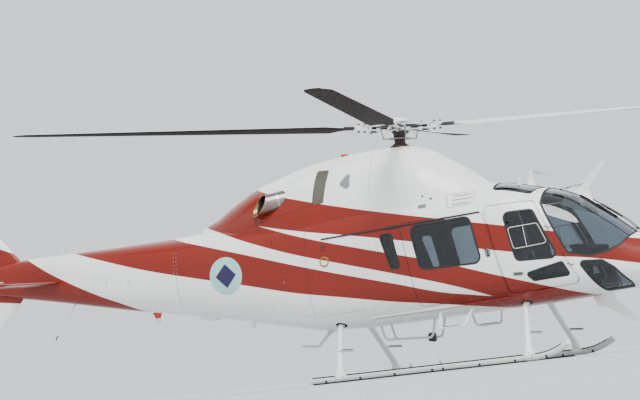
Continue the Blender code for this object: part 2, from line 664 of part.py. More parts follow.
def tail():
    """Swept upper and lower fins, stabiliser halves and the tail rotor's gearbox."""
    boom_seat = HULL_SEAT
    side = Vector((0, 1, 0))
    upper = [((-5.70, 0, 2.00), (-6.50, 0, 2.00), 0.15), ((-6.05, 0, 2.42), (-6.80, 0, 2.42), 0.14),
             ((-6.88, 0, 3.42), (-7.33, 0, 3.42), 0.08), ((-6.98, 0, FIN_TOP), (-7.31, 0, FIN_TOP), 0.05)]
    lower = [((-5.72, 0, 1.85), (-6.50, 0, 1.85), 0.12), ((-6.02, 0, 1.52), (-6.62, 0, 1.52), 0.11),
             ((-6.62, 0, 0.93), (-6.98, 0, 0.93), 0.07), ((-6.70, 0, 0.87), (-6.97, 0, 0.87), 0.05)]
    upper_fin = as_part(loft([wing_ring(a, b, side * t) for a, b, t in upper]), "upper_fin", RED, 0.35)
    boolean(upper_fin, boom_seat)
    lower_fin = as_part(loft([wing_ring(a, b, side * t) for a, b, t in lower]), "lower_fin", RED, 0.35)
    boolean(lower_fin, boom_seat)
    up = Vector((0, 0, 1))
    for sign, tag in ((1, "left"), (-1, "right")):
        tip = STABILISER_SPAN / 2
        spans = [((-5.15, sign * 0.05, 1.82), (-5.77, sign * 0.05, 1.82), 0.075),
                 ((-5.36, sign * (tip - 0.03), 1.82), (-5.78, sign * (tip - 0.03), 1.82), 0.055),
                 ((-5.42, sign * tip, 1.82), (-5.76, sign * tip, 1.82), 0.03)]
        wing = loft([wing_ring(a, b, up * t) for a, b, t in spans])
        boolean(as_part(wing, "stabiliser_" + tag, WHITE, 0.35), boom_seat)
    x, y, z = TAIL_ROTOR_HUB
    housing = as_part(rod((x, 0.0, z), (x, y - 0.10, z), 0.10, 0.075), "tail_gearbox", GREY, 0.4, 0.4)
    fin_seat = as_cutter(loft([wing_ring(Vector(a) + Vector((GAP, 0, 0)), Vector(b), side * (t + 2 * GAP))
                               for a, b, t in upper]), "fin_seat")
    boolean(housing, fin_seat)


def tail_rotor():
    """Two-blade tail rotor on the port side, its axis along Y."""
    x, y, z = TAIL_ROTOR_HUB
    axis = axis_empty("tail_rotor_axis", TAIL_ROTOR_HUB)
    hub = as_part(rod((0, -0.10 + GAP, 0), (0, 0.05, 0), 0.055), "tail_rotor_hub", STEEL, 0.35, 0.8,
                  parent=axis)
    boolean(hub, as_cutter(box((-0.045, -0.025, -0.19), (0.045, 0.025, 0.19)), "tail_yoke",
                           axis), 'UNION')
    for sign, tag in ((1, "1"), (-1, "2")):
        chord = TAIL_ROTOR_CHORD
        rings = []
        for reach, width, thick in ((0.19 + GAP, 0.09, 0.035), (0.26, 0.10, 0.03),
                                    (0.36, chord, 0.024), (TAIL_ROTOR_RADIUS, chord, 0.018)):
            front = (-sign * 0.3 * width, 0, sign * reach)
            back = (sign * 0.7 * width, 0, sign * reach)
            rings.append(wing_ring(front, back, (0, thick, 0)))
        as_part(loft(rings), "tail_blade_" + tag, GREY, 0.4, parent=axis)


def cowls():
    """Transmission and engine cowls with what stands under them, and the exhausts."""
    inner = loft([cowl_ring(x, COWL_WALL) for x in (-2.80, -2.48, -2.12, -1.86, -1.26, -0.60, 0.00,
                                                     0.34, 0.48, 0.68, 0.89, 1.08)])
    inner = as_cutter(inner, "cowl_room")
    exhausts = {}
    for side, tag in ((1, "left"), (-1, "right")):
        start, end = Vector((-1.50, side * 0.37, 2.53)), Vector((-2.03, side * 0.66, 2.46))
        exhausts[tag] = (start, end)
    for title, stations in (("forward_cowl", FORWARD_COWL_STATIONS),
                            ("engine_cowl", ENGINE_COWL_STATIONS)):
        places = list(stations)
        if title == "engine_cowl":
            places[-1] -= GAP
        cowl = as_part(loft([cowl_ring(x) for x in places]), title, WHITE, 0.3)
        boolean(cowl, inner)
        on_hull(cowl)
        if title == "forward_cowl":
            boolean(cowl, mast_rod(-0.50, 0.0, 0.078 + GAP, "mast_way"))
        else:
            for start, end in exhausts.values():
                boolean(cowl, as_cutter(rod(start, end, 0.135 + 2 * GAP, sides=24), "exhaust_way"))
            slot = ((-1.20, 2.44), (-1.01, 2.41), (-0.94, 2.83), (-1.14, 2.84))
            shelf = as_cutter(loft([cowl_ring(x, 0.012) for x in (-1.86, -1.26, -0.80, -0.60)]),
                              "intake_depth")
            for side in (1, -1):
                pocket = plate(rounded(slot, 0.03), *sorted((side * 0.2, side * 1.2)))
                boolean(cowl, boolean(as_cutter(pocket, "intake"), shelf))
    for tag, (start, end) in exhausts.items():
        pipe = as_part(rod(start, end, 0.135, sides=24), "exhaust_" + tag, BURNT, 0.35, 0.9)
        way = (end - start).normalized()
        boolean(pipe, as_cutter(rod(start + way * 0.03, end + way * 0.02, 0.127, sides=24), "bore"))
    engine = as_part(box((-1.95, -0.20, 2.20), (-0.72, 0.20, 2.70)), "engine_block", STEEL, 0.5, 0.7)
    on_hull(engine)
    gearbox = as_part(box((-0.34, -0.24, 2.20), (0.28, 0.24, 2.86)), "gearbox_block", STEEL, 0.5, 0.7)
    on_hull(gearbox)


MAST = axis_empty("mast_axis", (0, 0, ROTOR_HEIGHT), Matrix.Rotation(MAST_TILT, 3, 'Y'))


def mast_rod(low, high, radius, name):
    """Guide bar along the mast, by height above the rotor's centre."""
    return as_cutter(rod((0, 0, low), (0, 0, high), radius, sides=24), name, MAST)


def main_rotor():
    """Mast boot, hub with four arms and pitch links, and four tapered-root blades."""
    boot = as_part(rod((0, 0, -0.50), (0, 0, -0.12), 0.078, sides=24), "mast_boot", DARK, 0.8,
                   parent=MAST)
    boolean(boot, as_cutter(box((-0.6, -0.6, 2.0), (0.6, 0.6, 2.86 + GAP)), "gearbox_top"))
    hub = as_part(rod((0, 0, -0.12 + GAP), (0, 0, 0.05), 0.075, sides=24), "main_rotor_hub", STEEL,
                  0.35, 0.6, parent=MAST)
    dome = rod((0, 0, 0.04), (0, 0, 0.14), 0.13, 0.05, sides=24)
    boolean(hub, as_cutter(rod((0, 0, -0.045), (0, 0, 0.045), 0.17, sides=24), "hub_disc", MAST), 'UNION')
    boolean(hub, as_cutter(dome, "hub_cap", MAST), 'UNION')
    for k in range(4):
        turn = Matrix.Rotation(ROTOR_PARKED + k * pi / 2, 4, 'Z')
        lift = turn @ Matrix.Rotation(-BLADE_CONE, 4, 'Y')
        arm = loft([np.array([(r, s * w, t * h) for s, t in ((1, -1), (1, 1), (-1, 1), (-1, -1))])
                    for r, w, h in ((0.10, 0.085, 0.035), (0.30, 0.060, 0.035),
                                    (BLADE_ROOT - GAP, 0.055, 0.028))])
        arm.data.transform(lift)
        boolean(hub, as_cutter(arm, "hub_arm", MAST), 'UNION')
        link = rod((0.20, 0.115, -0.16), (0.24, 0.115, 0.0), 0.011, sides=8)
        horn = rod((0.24, 0.115, 0.0), (0.24, 0.0, 0.0), 0.014, sides=8)
        for piece, name in ((link, "pitch_link"), (horn, "pitch_horn")):
            piece.data.transform(turn)
            boolean(hub, as_cutter(piece, name, MAST), 'UNION')
        rings = []
        sections = ((BLADE_ROOT, 0.11, 0.056), (0.72, 0.13, 0.052), (1.00, BLADE_CHORD, 0.042),
                    (5.20, BLADE_CHORD, 0.034), (ROTOR_RADIUS, 0.72 * BLADE_CHORD, 0.022))
        for (reach, width, thick), twist in zip(sections, BLADE_PITCHES):
            sweep = 0.06 if reach == ROTOR_RADIUS else 0.0
            front = Vector((reach, 0.30 * width - sweep, 0))
            back = Vector((reach, -0.70 * width - sweep * 0.4, 0))
            pitch = Matrix.Rotation(radians(twist), 3, 'X')
            rings.append(wing_ring(pitch @ front, pitch @ back, pitch @ Vector((0, 0, thick))))
        blade = loft(rings)
        blade.data.transform(lift)
        as_part(blade, "main_blade_%d" % (k + 1), GREY, 0.45, parent=MAST)


def interior():
    """Crew seats, rear bench and the instrument panel with its console."""
    floor_top = 0.88 + GAP
    for side, tag in ((1, "left"), (-1, "right")):
        y = side * 0.34
        outline = ((1.98, floor_top), (1.98, 1.22), (1.52, 1.17), (1.38, 1.92), (1.24, 1.92),
                   (1.36, 1.05), (1.42, floor_top))
        seat = plate(rounded(outline[::-1], 0.03, 1), y - 0.22, y + 0.22)
        as_part(seat, "crew_seat_" + tag, CLOTH, 0.9)
    outline = ((0.02, floor_top), (0.02, 1.24), (-0.40, 1.20), (-0.46, 1.90), (-0.54, 1.90),
               (-0.54, floor_top))
    bench = plate(rounded(outline[::-1], 0.02, 1), -0.56, 0.56)
    as_part(bench, "rear_bench", CLOTH, 0.9)
    outline = ((2.42, floor_top), (2.42, 1.20), (2.62, 1.36), (2.62, 1.44), (2.30, 1.46),
               (2.26, 1.40), (2.30, 1.12), (1.86, 1.02), (1.80, floor_top))
    panel = plate(outline, -0.10, 0.10)
    as_part(panel, "instrument_panel", DARK, 0.6)
    hood = plate(((2.31, 1.15), (2.50, 1.15), (2.58, 1.35), (2.58, 1.43), (2.31, 1.45), (2.27, 1.40)),
                 -0.42, 0.42)
    boolean(panel, as_cutter(hood, "panel_hood"), 'UNION')


def small_gear():
    """Boarding steps, wire cutters and the cargo hook's frame."""
    for side, tag in ((1, "left"), (-1, "right")):
        y = side * 0.78
        path = eased([(0.50, side * 0.60, 0.80), (0.51, y, 0.56), (0.86, y, 0.56),
                      (0.95, side * 0.60, 0.80)], 0.05, 3)
        on_hull(as_part(bent_tube(path, 0.016, 2), "boarding_step_" + tag, WHITE, 0.4))
    upper = ((2.10, 2.00), (2.60, 1.80), (2.52, 2.16), (2.60, 2.27), (2.80, 2.48), (2.74, 2.50),
             (2.44, 2.26), (2.30, 2.22))
    cutter = as_part(plate(upper, -0.012, 0.012), "wire_cutter_upper", DARK, 0.5)
    on_hull(cutter)
    lower = ((2.36, 0.85), (2.46, 0.62), (2.62, 0.57), (2.94, 0.36), (2.99, 0.40), (2.72, 0.66),
             (2.66, 0.85))
    cutter = as_part(plate(lower, -0.012, 0.012), "wire_cutter_lower", DARK, 0.5)
    on_hull(cutter)
    bar = 0.015
    loop = eased([(-0.52, -0.20, 0.76), (-0.46, -0.20, 0.50), (0.20, -0.20, 0.46), (0.28, -0.20, 0.76)],
                 0.06, 2)
    frame = as_part(bent_tube(loop, bar, 2), "cargo_hook_frame", GREY, 0.5, 0.3)
    other = bent_tube([(p.x, -p.y, p.z) for p in loop], bar, 2)
    boolean(frame, as_cutter(other, "hook_loop"), 'UNION')
    for x, z in ((-0.30, 0.4916), (0.13, 0.4656)):
        boolean(frame, as_cutter(rod((x, -0.20, z), (x, 0.20, z), 0.013, sides=10), "hook_bar"), 'UNION')
    hook = box((0.08, -0.035, 0.40), (0.18, 0.035, 0.53))
    boolean(frame, as_cutter(hook, "hook_body"), 'UNION')
    on_hull(frame)


landing_gear()
cabin()
rear_fuselage()
cowls()
main_rotor()
tail()
tail_rotor()
interior()
small_gear()
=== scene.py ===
"""Fine shapes and finishes of a light single-engine helicopter on skids.

Metres, nose towards +X, port side towards +Y.  Shapes are worked out about the airframe
datum, whose X is zero at the main rotor's centre, and piece() moves them to the frame's own X.
"""
import json
from functools import reduce
from math import cos, pi, radians, sin

import bmesh
import bpy
import numpy as np
from mathutils import Matrix, Vector


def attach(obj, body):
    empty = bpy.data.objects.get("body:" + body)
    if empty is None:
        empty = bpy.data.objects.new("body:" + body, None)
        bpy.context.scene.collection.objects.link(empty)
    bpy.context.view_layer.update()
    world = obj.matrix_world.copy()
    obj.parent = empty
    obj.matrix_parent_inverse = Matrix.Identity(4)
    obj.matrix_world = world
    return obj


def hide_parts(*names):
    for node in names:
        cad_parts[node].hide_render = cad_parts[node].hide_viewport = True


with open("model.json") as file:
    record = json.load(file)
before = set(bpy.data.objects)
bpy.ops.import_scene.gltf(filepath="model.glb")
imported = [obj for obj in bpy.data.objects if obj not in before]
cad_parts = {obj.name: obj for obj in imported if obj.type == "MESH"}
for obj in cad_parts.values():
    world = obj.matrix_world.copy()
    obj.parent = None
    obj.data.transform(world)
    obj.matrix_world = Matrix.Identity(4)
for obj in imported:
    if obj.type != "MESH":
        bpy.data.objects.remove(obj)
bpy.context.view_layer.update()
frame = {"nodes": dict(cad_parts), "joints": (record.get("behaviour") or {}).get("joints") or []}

JOINTS = {joint["name"]: joint for joint in frame["joints"]}
HUB = Vector(JOINTS["main_rotor_spin"]["pos_m"])
MAST_WAY = Vector(JOINTS["main_rotor_spin"]["axis"])
DATUM = np.array((HUB.x, 0.0, 0.0))
SIDES = ((1, "left"), (-1, "right"))

# Hull stations: place along X, roof, belly, half width, widest height, roundness power
HULL = np.array([
    (-6.55, 2.150, 1.800, 0.120, 1.975, 2.4),
    (-5.90, 2.205, 1.670, 0.175, 1.940, 2.5),
    (-5.40, 2.210, 1.570, 0.225, 1.890, 2.5),
    (-4.70, 2.210, 1.420, 0.290, 1.830, 2.5),
    (-4.00, 2.215, 1.270, 0.365, 1.770, 2.5),
    (-3.30, 2.225, 1.140, 0.455, 1.720, 2.5),
    (-2.50, 2.280, 0.975, 0.600, 1.650, 2.6),
    (-1.80, 2.330, 0.820, 0.715, 1.550, 2.8),
    (-1.25, 2.370, 0.715, 0.785, 1.470, 3.0),
    (-0.60, 2.400, 0.690, 0.825, 1.420, 3.2),
    (0.80, 2.410, 0.710, 0.835, 1.400, 3.3),
    (1.43, 2.370, 0.720, 0.830, 1.380, 3.3),
    (1.90, 2.260, 0.730, 0.805, 1.340, 3.1),
    (2.13, 2.200, 0.740, 0.780, 1.300, 3.0),
    (2.40, 2.085, 0.750, 0.735, 1.250, 2.8),
    (2.66, 1.900, 0.775, 0.675, 1.200, 2.6),
    (2.92, 1.700, 0.790, 0.600, 1.160, 2.4),
    (3.18, 1.490, 0.805, 0.510, 1.120, 2.3),
    (3.50, 1.350, 0.850, 0.355, 1.090, 2.2),
    (3.72, 1.240, 0.930, 0.200, 1.080, 2.1),
    (3.85, 1.130, 1.030, 0.050, 1.080, 2.0),
])
# Cowl stations: place along X, top, half width at the foot, roundness power
COWL = np.array([
    (-3.00, 2.300, 0.160, 2.2),
    (-2.76, 2.400, 0.290, 2.2),
    (-2.48, 2.560, 0.420, 2.2),
    (-2.12, 2.740, 0.540, 2.2),
    (-1.86, 2.820, 0.600, 2.2),
    (-1.26, 2.970, 0.680, 2.2),
    (-0.60, 3.040, 0.705, 2.2),
    (0.00, 3.055, 0.700, 2.2),
    (0.34, 2.985, 0.690, 2.2),
    (0.48, 2.910, 0.680, 2.2),
    (0.68, 2.770, 0.650, 2.2),
    (0.89, 2.640, 0.610, 2.2),
    (1.11, 2.460, 0.530, 2.2),
    (1.26, 2.370, 0.440, 2.2),
])
COWL_FOOT, COWL_SPLIT = 2.0, -0.3
CABIN_BACK, BULKHEAD, REAR_END, BOOM_END, NOSE = -1.25, -0.6, -3.3, -6.55, 3.85
CABIN_WALL, REAR_WALL, COWL_WALL = 0.04, 0.03, 0.025
DOOR_GAP, DOOR_BEVEL, DOOR_TOE = 0.009, 0.5, 0.008
GLASS_SET_IN, GLASS_THICK = 0.003, 0.006
BOOM_CAP = 0.085
GAP = 0.0003
RING_STEP = 0.06
ROTOR_HEIGHT = 3.31
AROUND = 112
TIP = 0.0005                         # radius at which a turned shape is closed
UP, DOWN, AHEAD, ACROSS = (0, 0, 1), (0, 0, -1), (1, 0, 0), (0, 1, 0)

# Openings in the side view, as corners (X, Z)
CREW_DOOR = ((1.52, 0.9), (2.49, 0.9), (1.94, 2.07), (1.275, 2.07))
CABIN_DOOR = ((0.27, 0.86), (1.518, 0.885), (1.275, 2.0), (0.11, 1.985))
CREW_WINDOW = ((1.67, 1.31), (2.23, 1.29), (1.93, 1.95), (1.54, 1.95))
LOWER_WINDOW = ((1.87, 1.03), (2.345, 1.05), (2.26, 1.23), (1.77, 1.13))
CABIN_WINDOW = ((0.36, 1.35), (1.21, 1.34), (1.09, 1.96), (0.26, 1.93))
SLOT_WINDOW = ((-0.04, 1.41), (0.08, 1.4), (0.0, 1.87), (-0.17, 1.87))
CHIN_WINDOW = ((2.69, 0.8), (3.09, 0.82), (2.9, 1.08), (2.76, 1.19), (2.46, 1.21))
WINDSHIELD = ((2.34, 1.34), (2.6, 1.27), (2.82, 1.29), (3.0, 1.37), (3.12, 1.5),
              (3.3, 2.4), (2.06, 2.4), (2.03, 2.02))
EYEBROW = ((1.39, 0.14), (2.0, 0.14), (1.88, 0.55), (1.39, 0.58))
BAGGAGE_DOOR = ((-1.95, 1.25), (-1.38, 1.22), (-1.38, 1.84), (-1.93, 1.86))
INTAKE = ((-1.13, 2.4), (-0.96, 2.39), (-0.9, 2.84), (-1.09, 2.85))
CENTRE_POST, CHIN_POST = 0.03, 0.12

# Edges of the paint scheme in the side view, as points (X, Z) from the tail forwards
BELLY_EDGE = ((-5.12, 2.25), (-4.53, 2.06), (-3.8, 1.83), (-2.9, 1.6), (-2.19, 1.43), (-1.47, 1.25),
              (-0.76, 1.11), (-0.05, 0.97), (0.51, 0.88), (1.07, 0.78), (1.9, 0.63), (2.6, 0.5))
LOW_RED_TOP = ((-3.75, 2.33), (-3.21, 2.15), (-2.86, 2.05), (-2.15, 1.84), (-1.44, 1.62), (-0.73, 1.41),
               (-0.03, 1.21), (0.66, 1.01), (1.0, 0.945), (1.27, 0.893), (1.5, 0.85))
LOW_WHITE_TOP = ((-3.2, 2.4), (-2.7, 2.23), (-2.13, 2.01), (-1.42, 1.76), (-0.72, 1.55),
                 (-0.02, 1.34), (0.68, 1.12), (1.0, 1.005), (1.27, 0.892), (1.5, 0.8))
HIGH_RED_FOOT = ((-1.96, 2.21), (-1.34, 1.99), (-0.64, 1.78), (0.06, 1.58), (0.62, 1.42), (1.17, 1.23),
                 (1.99, 0.95), (2.8, 0.67), (3.2, 0.53))
HIGH_WHITE_TOP = ((-1.96, 2.21), (-1.33, 2.06), (-0.62, 1.92), (0.08, 1.77), (0.62, 1.65), (1.2, 1.52),
                  (1.61, 1.43), (2.16, 1.31), (2.58, 1.24), (3.39, 1.05), (3.85, 0.94))
ROOF_EDGE = ((-2.6, 3.05), (-2.12, 2.75), (-1.82, 2.63), (-1.29, 2.47), (-0.59, 2.28), (0.11, 2.11),
             (0.81, 1.95), (1.51, 1.79), (2.19, 1.63), (3.04, 1.45), (3.34, 1.385), (3.85, 1.27))
TAIL_RED_TOP = ((-7.4, 2.95), (-6.6, 2.6), (-5.7, 2.19), (-5.27, 1.93), (-4.55, 1.55), (-4.26, 1.42),
                (-3.83, 1.21), (-3.4, 1.0))
TAIL_RED_FOOT = ((-7.4, 1.8), (-6.6, 1.7), (-5.9, 1.6), (-5.2, 1.46), (-4.8, 1.36), (-4.2, 1.2))
LIVERY_FROM, LIVERY_TO, LIVERY_HIGH = -7.5, 4.0, 4.0
# Stations where a stripe starts or ends, and how fast a painted edge fades, per metre
STRIPES_BACK, WEDGE_BACK, LOW_WHITE_TIP, TAIL_RED_FRONT, BELLY_RED_BACK = -3.2, -1.96, 1.27, -3.45, -5.12
PAINT_EDGE = 300.0
# The red areas: foot, top, ahead of, behind
RED_AREAS = ((BELLY_EDGE, LOW_RED_TOP, BELLY_RED_BACK, None),
             (LOW_WHITE_TOP, HIGH_RED_FOOT, STRIPES_BACK, None),
             (HIGH_WHITE_TOP, ROOF_EDGE, WEDGE_BACK, None),
             (LOW_WHITE_TOP, ROOF_EDGE, STRIPES_BACK, WEDGE_BACK),
             (BELLY_EDGE, HIGH_RED_FOOT, LOW_WHITE_TIP, None),
             (TAIL_RED_FOOT, TAIL_RED_TOP, None, TAIL_RED_FRONT))
SOOT_START, SOOT_HEIGHT = -1.95, 2.38
DISC_PLACE, DISC_RADIUS = (-2.5, 1.6), 0.255


# Shapes: each function gives points and faces, computed as whole arrays

def xyz(x, y, z):
    """Points from their three coordinates, each an array or one number."""
    return np.stack(np.broadcast_arrays(x, y, z), -1).astype(float)


def unit(ways):
    """Directions scaled to a length of 1."""
    return ways / np.maximum(np.linalg.norm(ways, axis=-1, keepdims=True), 1e-12)


def smooth_rows(table, x):
    """Columns of a table at x: cubic pieces whose slopes are the harmonic mean of the slopes
    on both sides, so that no column overshoots its stations."""
    table = np.asarray(table, float)
    places, values = table[:, 0], table[:, 1:]
    steps = np.diff(places)[:, None]
    slopes = np.diff(values, axis=0) / steps
    ends = np.vstack([slopes[:1], slopes, slopes[-1:]])
    before, after = ends[:-1], ends[1:]
    same = before * after > 0
    tangents = np.where(same, 2 * before * after / np.where(same, before + after, 1), 0)
    x = np.asarray(x, float)
    i = np.clip(np.searchsorted(places, x) - 1, 0, len(places) - 2)
    span = steps[i]
    t = (x[..., None] - places[i][..., None]) / span
    rows = ((2 * t ** 3 - 3 * t ** 2 + 1) * values[i] + (t ** 3 - 2 * t ** 2 + t) * span * tangents[i]
            + (3 * t ** 2 - 2 * t ** 3) * values[i + 1] + (t ** 3 - t ** 2) * span * tangents[i + 1])
    return np.moveaxis(rows, -1, 0)


def power_wave(value, power):
    """Signed value to the power 2/p: the cosine or sine of a superellipse."""
    return np.sign(value) * np.abs(value) ** (2 / power)


def hull_rings(x, inset=0.0, around=AROUND):
    """Hull sections: superellipses about the widest height, their roof and belly reaching apart."""
    x = np.atleast_1d(np.asarray(x, float))
    roof, belly, half, widest, power = smooth_rows(HULL, x)[..., None]
    angle = turns(around)
    across, upright = power_wave(np.cos(angle), power), power_wave(np.sin(angle), power)
    reach = np.where(upright > 0, roof - inset - widest, widest - belly - inset)
    return xyz(x[:, None], (half - inset) * across, widest + reach * upright)


def hull_half(x, z):
    """Half width of the hull at a place in the side view, by the superellipse's own equation."""
    x, z = np.broadcast_arrays(x, z)
    roof, belly, half, widest, power = smooth_rows(HULL, x)
    share = np.where(z > widest, (z - widest) / (roof - widest), (widest - z) / (widest - belly))
    return half * (1 - np.clip(np.abs(share), 0, 1) ** power) ** (1 / power)


def cowl_half(x, z):
    """Half width of the cowl at a place in the side view."""
    x, z = np.broadcast_arrays(x, z)
    top, half, power = smooth_rows(COWL, x)
    share = np.clip((z - COWL_FOOT) / (top - COWL_FOOT), 0, 1)
    return half * (1 - share ** power) ** (1 / power)


def skin_frame(half, x, z, side):
    """Points on a skin given by its half width, with the outward unit normals there."""
    step = 0.004
    slope_x = (half(x + step, z) - half(x - step, z)) / (2 * step)
    slope_z = (half(x, z + step) - half(x, z - step)) / (2 * step)
    return xyz(x, side * half(x, z), z), unit(xyz(-slope_x, side, -slope_z))


def level_normals(points, level):
    """Unit gradient of a level function, by central differences."""
    return unit(np.stack([level(points + step) - level(points - step) for step in np.eye(3) * 0.001], -1))


def hull_level(points):
    """Grows outwards through the hull's skin: the superellipse's left side."""
    x, y, z = points.T
    roof, belly, half, widest, power = smooth_rows(HULL, np.clip(x, BOOM_END, NOSE))
    reach = np.where(z > widest, roof - widest, widest - belly)
    return np.abs(y / half) ** power + np.abs((z - widest) / reach) ** power


def cowl_level(points):
    """Grows outwards through the cowl's skin."""
    x, y, z = points.T
    top, half, power = smooth_rows(COWL, np.clip(x, -3.0, 1.26))
    return np.abs(y / half) ** power + np.abs(np.maximum(z - COWL_FOOT, 0) / (top - COWL_FOOT)) ** power


def grid_faces(rows, columns, wrap_rows=False, wrap_columns=False):
    """Corner numbers of the quads between neighbouring rows and columns of a grid."""
    i, j = np.meshgrid(np.arange(rows if wrap_rows else rows - 1),
                       np.arange(columns if wrap_columns else columns - 1), indexing='ij')
    down, right = (i + 1) % rows, (j + 1) % columns
    quads = np.stack([i * columns + j, i * columns + right, down * columns + right, down * columns + j], -1)
    return quads.reshape(-1, 4).tolist()


def loft(rings):
    """Closed skin through a stack of closed rings, with a flat face at each end."""
    rows, around = rings.shape[:2]
    faces = grid_faces(rows, around, wrap_columns=True)
    faces.append(list(range(around - 1, -1, -1)))
    faces.append(list(range((rows - 1) * around, rows * around)))
    return rings.reshape(-1, 3), faces


def torus_like(rings):
    """Closed skin through a loop of closed rings."""
    rows, around = rings.shape[:2]
    return rings.reshape(-1, 3), grid_faces(rows, around, wrap_rows=True, wrap_columns=True)


def turns(count):
    """Angles evenly spaced round a circle."""
    return np.arange(count) * 2 * pi / count


def stations(low, high, step):
    """Even places from one end to the other, about a step apart."""
    return np.linspace(low, high, max(2, int(round((high - low) / step)) + 1))


def hull_solid(low, high, inset=0.0, step=RING_STEP, around=AROUND):
    """Filled hull between two stations."""
    return loft(hull_rings(stations(low, high, step), inset, around))


def hull_band(low, high, outer, inner, step=RING_STEP, around=AROUND):
    """Ring of hull wall between two insets: the section's corners run out, along, in and back."""
    x = stations(low, high, step)
    return torus_like(np.concatenate([hull_rings(x, outer, around), hull_rings(x[::-1], inner, around)]))


def cowl_solid(x, inset=0.0, around=65):
    """Half superellipse over the deck, closed by a flat foot below it."""
    x = np.asarray(x, float)
    top, half, power = smooth_rows(COWL, x)[..., None]
    angle = np.linspace(0, pi, around)[None, :]
    across, upright = power_wave(np.cos(angle), power), np.abs(np.sin(angle)) ** (2 / power)
    return loft(xyz(x[:, None], (half - inset) * across, COWL_FOOT - inset + (top - COWL_FOOT) * upright))


def corner_arcs(corners, radius, steps=8):
    """Closed outline whose corners are arcs: each arc's points blend its two end radii by sines."""
    corners = np.asarray(corners, float)
    leg_in = np.roll(corners, 1, axis=0) - corners
    leg_out = np.roll(corners, -1, axis=0) - corners
    long_in, long_out = np.linalg.norm(leg_in, axis=1), np.linalg.norm(leg_out, axis=1)
    leg_in, leg_out = unit(leg_in), unit(leg_out)
    half = np.arccos(np.clip((leg_in * leg_out).sum(1), -1, 1)) / 2
    reach = np.minimum(np.minimum(radius / np.tan(half), 0.45 * long_in), 0.45 * long_out)
    radius = reach * np.tan(half)
    middle = corners + unit(leg_in + leg_out) * (radius / np.sin(half))[:, None]
    first = corners + leg_in * reach[:, None] - middle
    last = corners + leg_out * reach[:, None] - middle
    share = np.linspace(0, 1, steps + 1)[None, :, None]
    sweep = (pi - 2 * half)[:, None, None]
    lean = unit(first[:, None] * np.sin((1 - share) * sweep) + last[:, None] * np.sin(share * sweep))
    return (middle[:, None] + lean * radius[:, None, None]).reshape(-1, corners.shape[1])


def grown(corners, amount):
    """Polygon with every side moved out by the same amount (corners anticlockwise)."""
    corners = np.asarray(corners, float)
    into = unit(corners - np.roll(corners, 1, axis=0))
    away = unit(np.roll(corners, -1, axis=0) - corners)
    out_in, out_away = into[:, ::-1] * (1, -1), away[:, ::-1] * (1, -1)
    return corners + (out_in + out_away) * (amount / (1 + (out_in * out_away).sum(1)))[:, None]


def prism(outline, low, high, along='Y'):
    """Outline carried from low to high along Y (drawn in X, Z) or along Z (drawn in X, Y)."""
    a, b = np.asarray(outline, float).T
    level = np.array((low, high), float)[:, None]
    return loft(xyz(a, level, b) if along == 'Y' else xyz(a, b, level))


def densely(points, spacing=0.03, closed=False):
    """Points spread evenly along a smooth curve through the given ones: each coordinate follows
    a Catmull-Rom cubic, and the places along it are evened out by length."""
    points = np.asarray(points, float)
    if closed:
        knots = np.vstack([points[-1:], points, points[:2]])
    else:
        knots = np.vstack([2 * points[:1] - points[1:2], points, 2 * points[-1:] - points[-2:-1]])
    t = np.linspace(0, 1, 24, endpoint=False)[None, :, None]
    a, b, c, d = (knots[i:len(knots) - 3 + i][:, None] for i in range(4))
    curve = 0.5 * (2 * b + (c - a) * t + (2 * a - 5 * b + 4 * c - d) * t ** 2
                   + (3 * b - a - 3 * c + d) * t ** 3)
    curve = curve.reshape(-1, points.shape[1])
    curve = np.vstack([curve, points[:1] if closed else points[-1:]])
    return evenly(curve, spacing)


def evenly(points, spacing):
    """Points moved to even distances along the path they make."""
    points = np.asarray(points, float)
    along = np.concatenate([[0], np.cumsum(np.linalg.norm(np.diff(points, axis=0), axis=1))])
    places = stations(0, along[-1], spacing)
    return np.stack([np.interp(places, along, points[:, k]) for k in range(points.shape[1])], -1)


def path_frames(path, up, closed=False):
    """Unit side and up directions along a path, square to its tangent."""
    if closed:
        tangent = np.roll(path, -1, axis=0) - np.roll(path, 1, axis=0)
    else:
        tangent = np.gradient(path, axis=0)
    tangent = unit(tangent)
    side = unit(np.cross(tangent, up))
    return side, np.cross(side, tangent)


def sweep(path, up, profile, closed=False):
    """Profile (across, up) carried along a path whose up direction is given at each point."""
    path, profile = np.asarray(path, float), np.asarray(profile, float)
    side, above = path_frames(path, up, closed)
    rings = path[:, None] + side[:, None] * profile[None, :, :1] + above[:, None] * profile[None, :, 1:]
    return torus_like(rings) if closed else loft(rings)


def rod(path, radius, sides=20, up=UP):
    """Round bar along a path: a circle whose radius may change from point to point."""
    path = np.asarray(path, float)
    side, above = path_frames(path, up)
    angle = turns(sides)
    radius = np.broadcast_to(radius, len(path))[:, None, None]
    circle = side[:, None] * np.cos(angle)[None, :, None] + above[:, None] * np.sin(angle)[None, :, None]
    return loft(path[:, None] + circle * radius)


def lathe(profile, centre=(0, 0, 0), axis=UP, sides=40):
    """Turned shape: profile points (radius, height) carried round an axis."""
    profile = np.asarray(profile, float)
    turn = np.array(Vector(axis).to_track_quat('Z', 'Y').to_matrix())
    angle = turns(sides)
    radius, height = profile[:, :1], profile[:, 1:]
    rings = xyz(radius * np.cos(angle), radius * np.sin(angle), height) @ turn.T
    return loft(rings + np.asarray(centre, float))


def block(low, high):
    """Box between two corners, as a loft of two rectangles."""
    (x0, y0, z0), (x1, y1, z1) = low, high
    return prism(((x0, y0), (x1, y0), (x1, y1), (x0, y1)), z0, z1, 'Z')


def plate(corners, radius, low, high, steps=4, along='Y'):
    """Flat plate whose outline has rounded corners."""
    return prism(corner_arcs(corners, radius, steps), low, high, along)


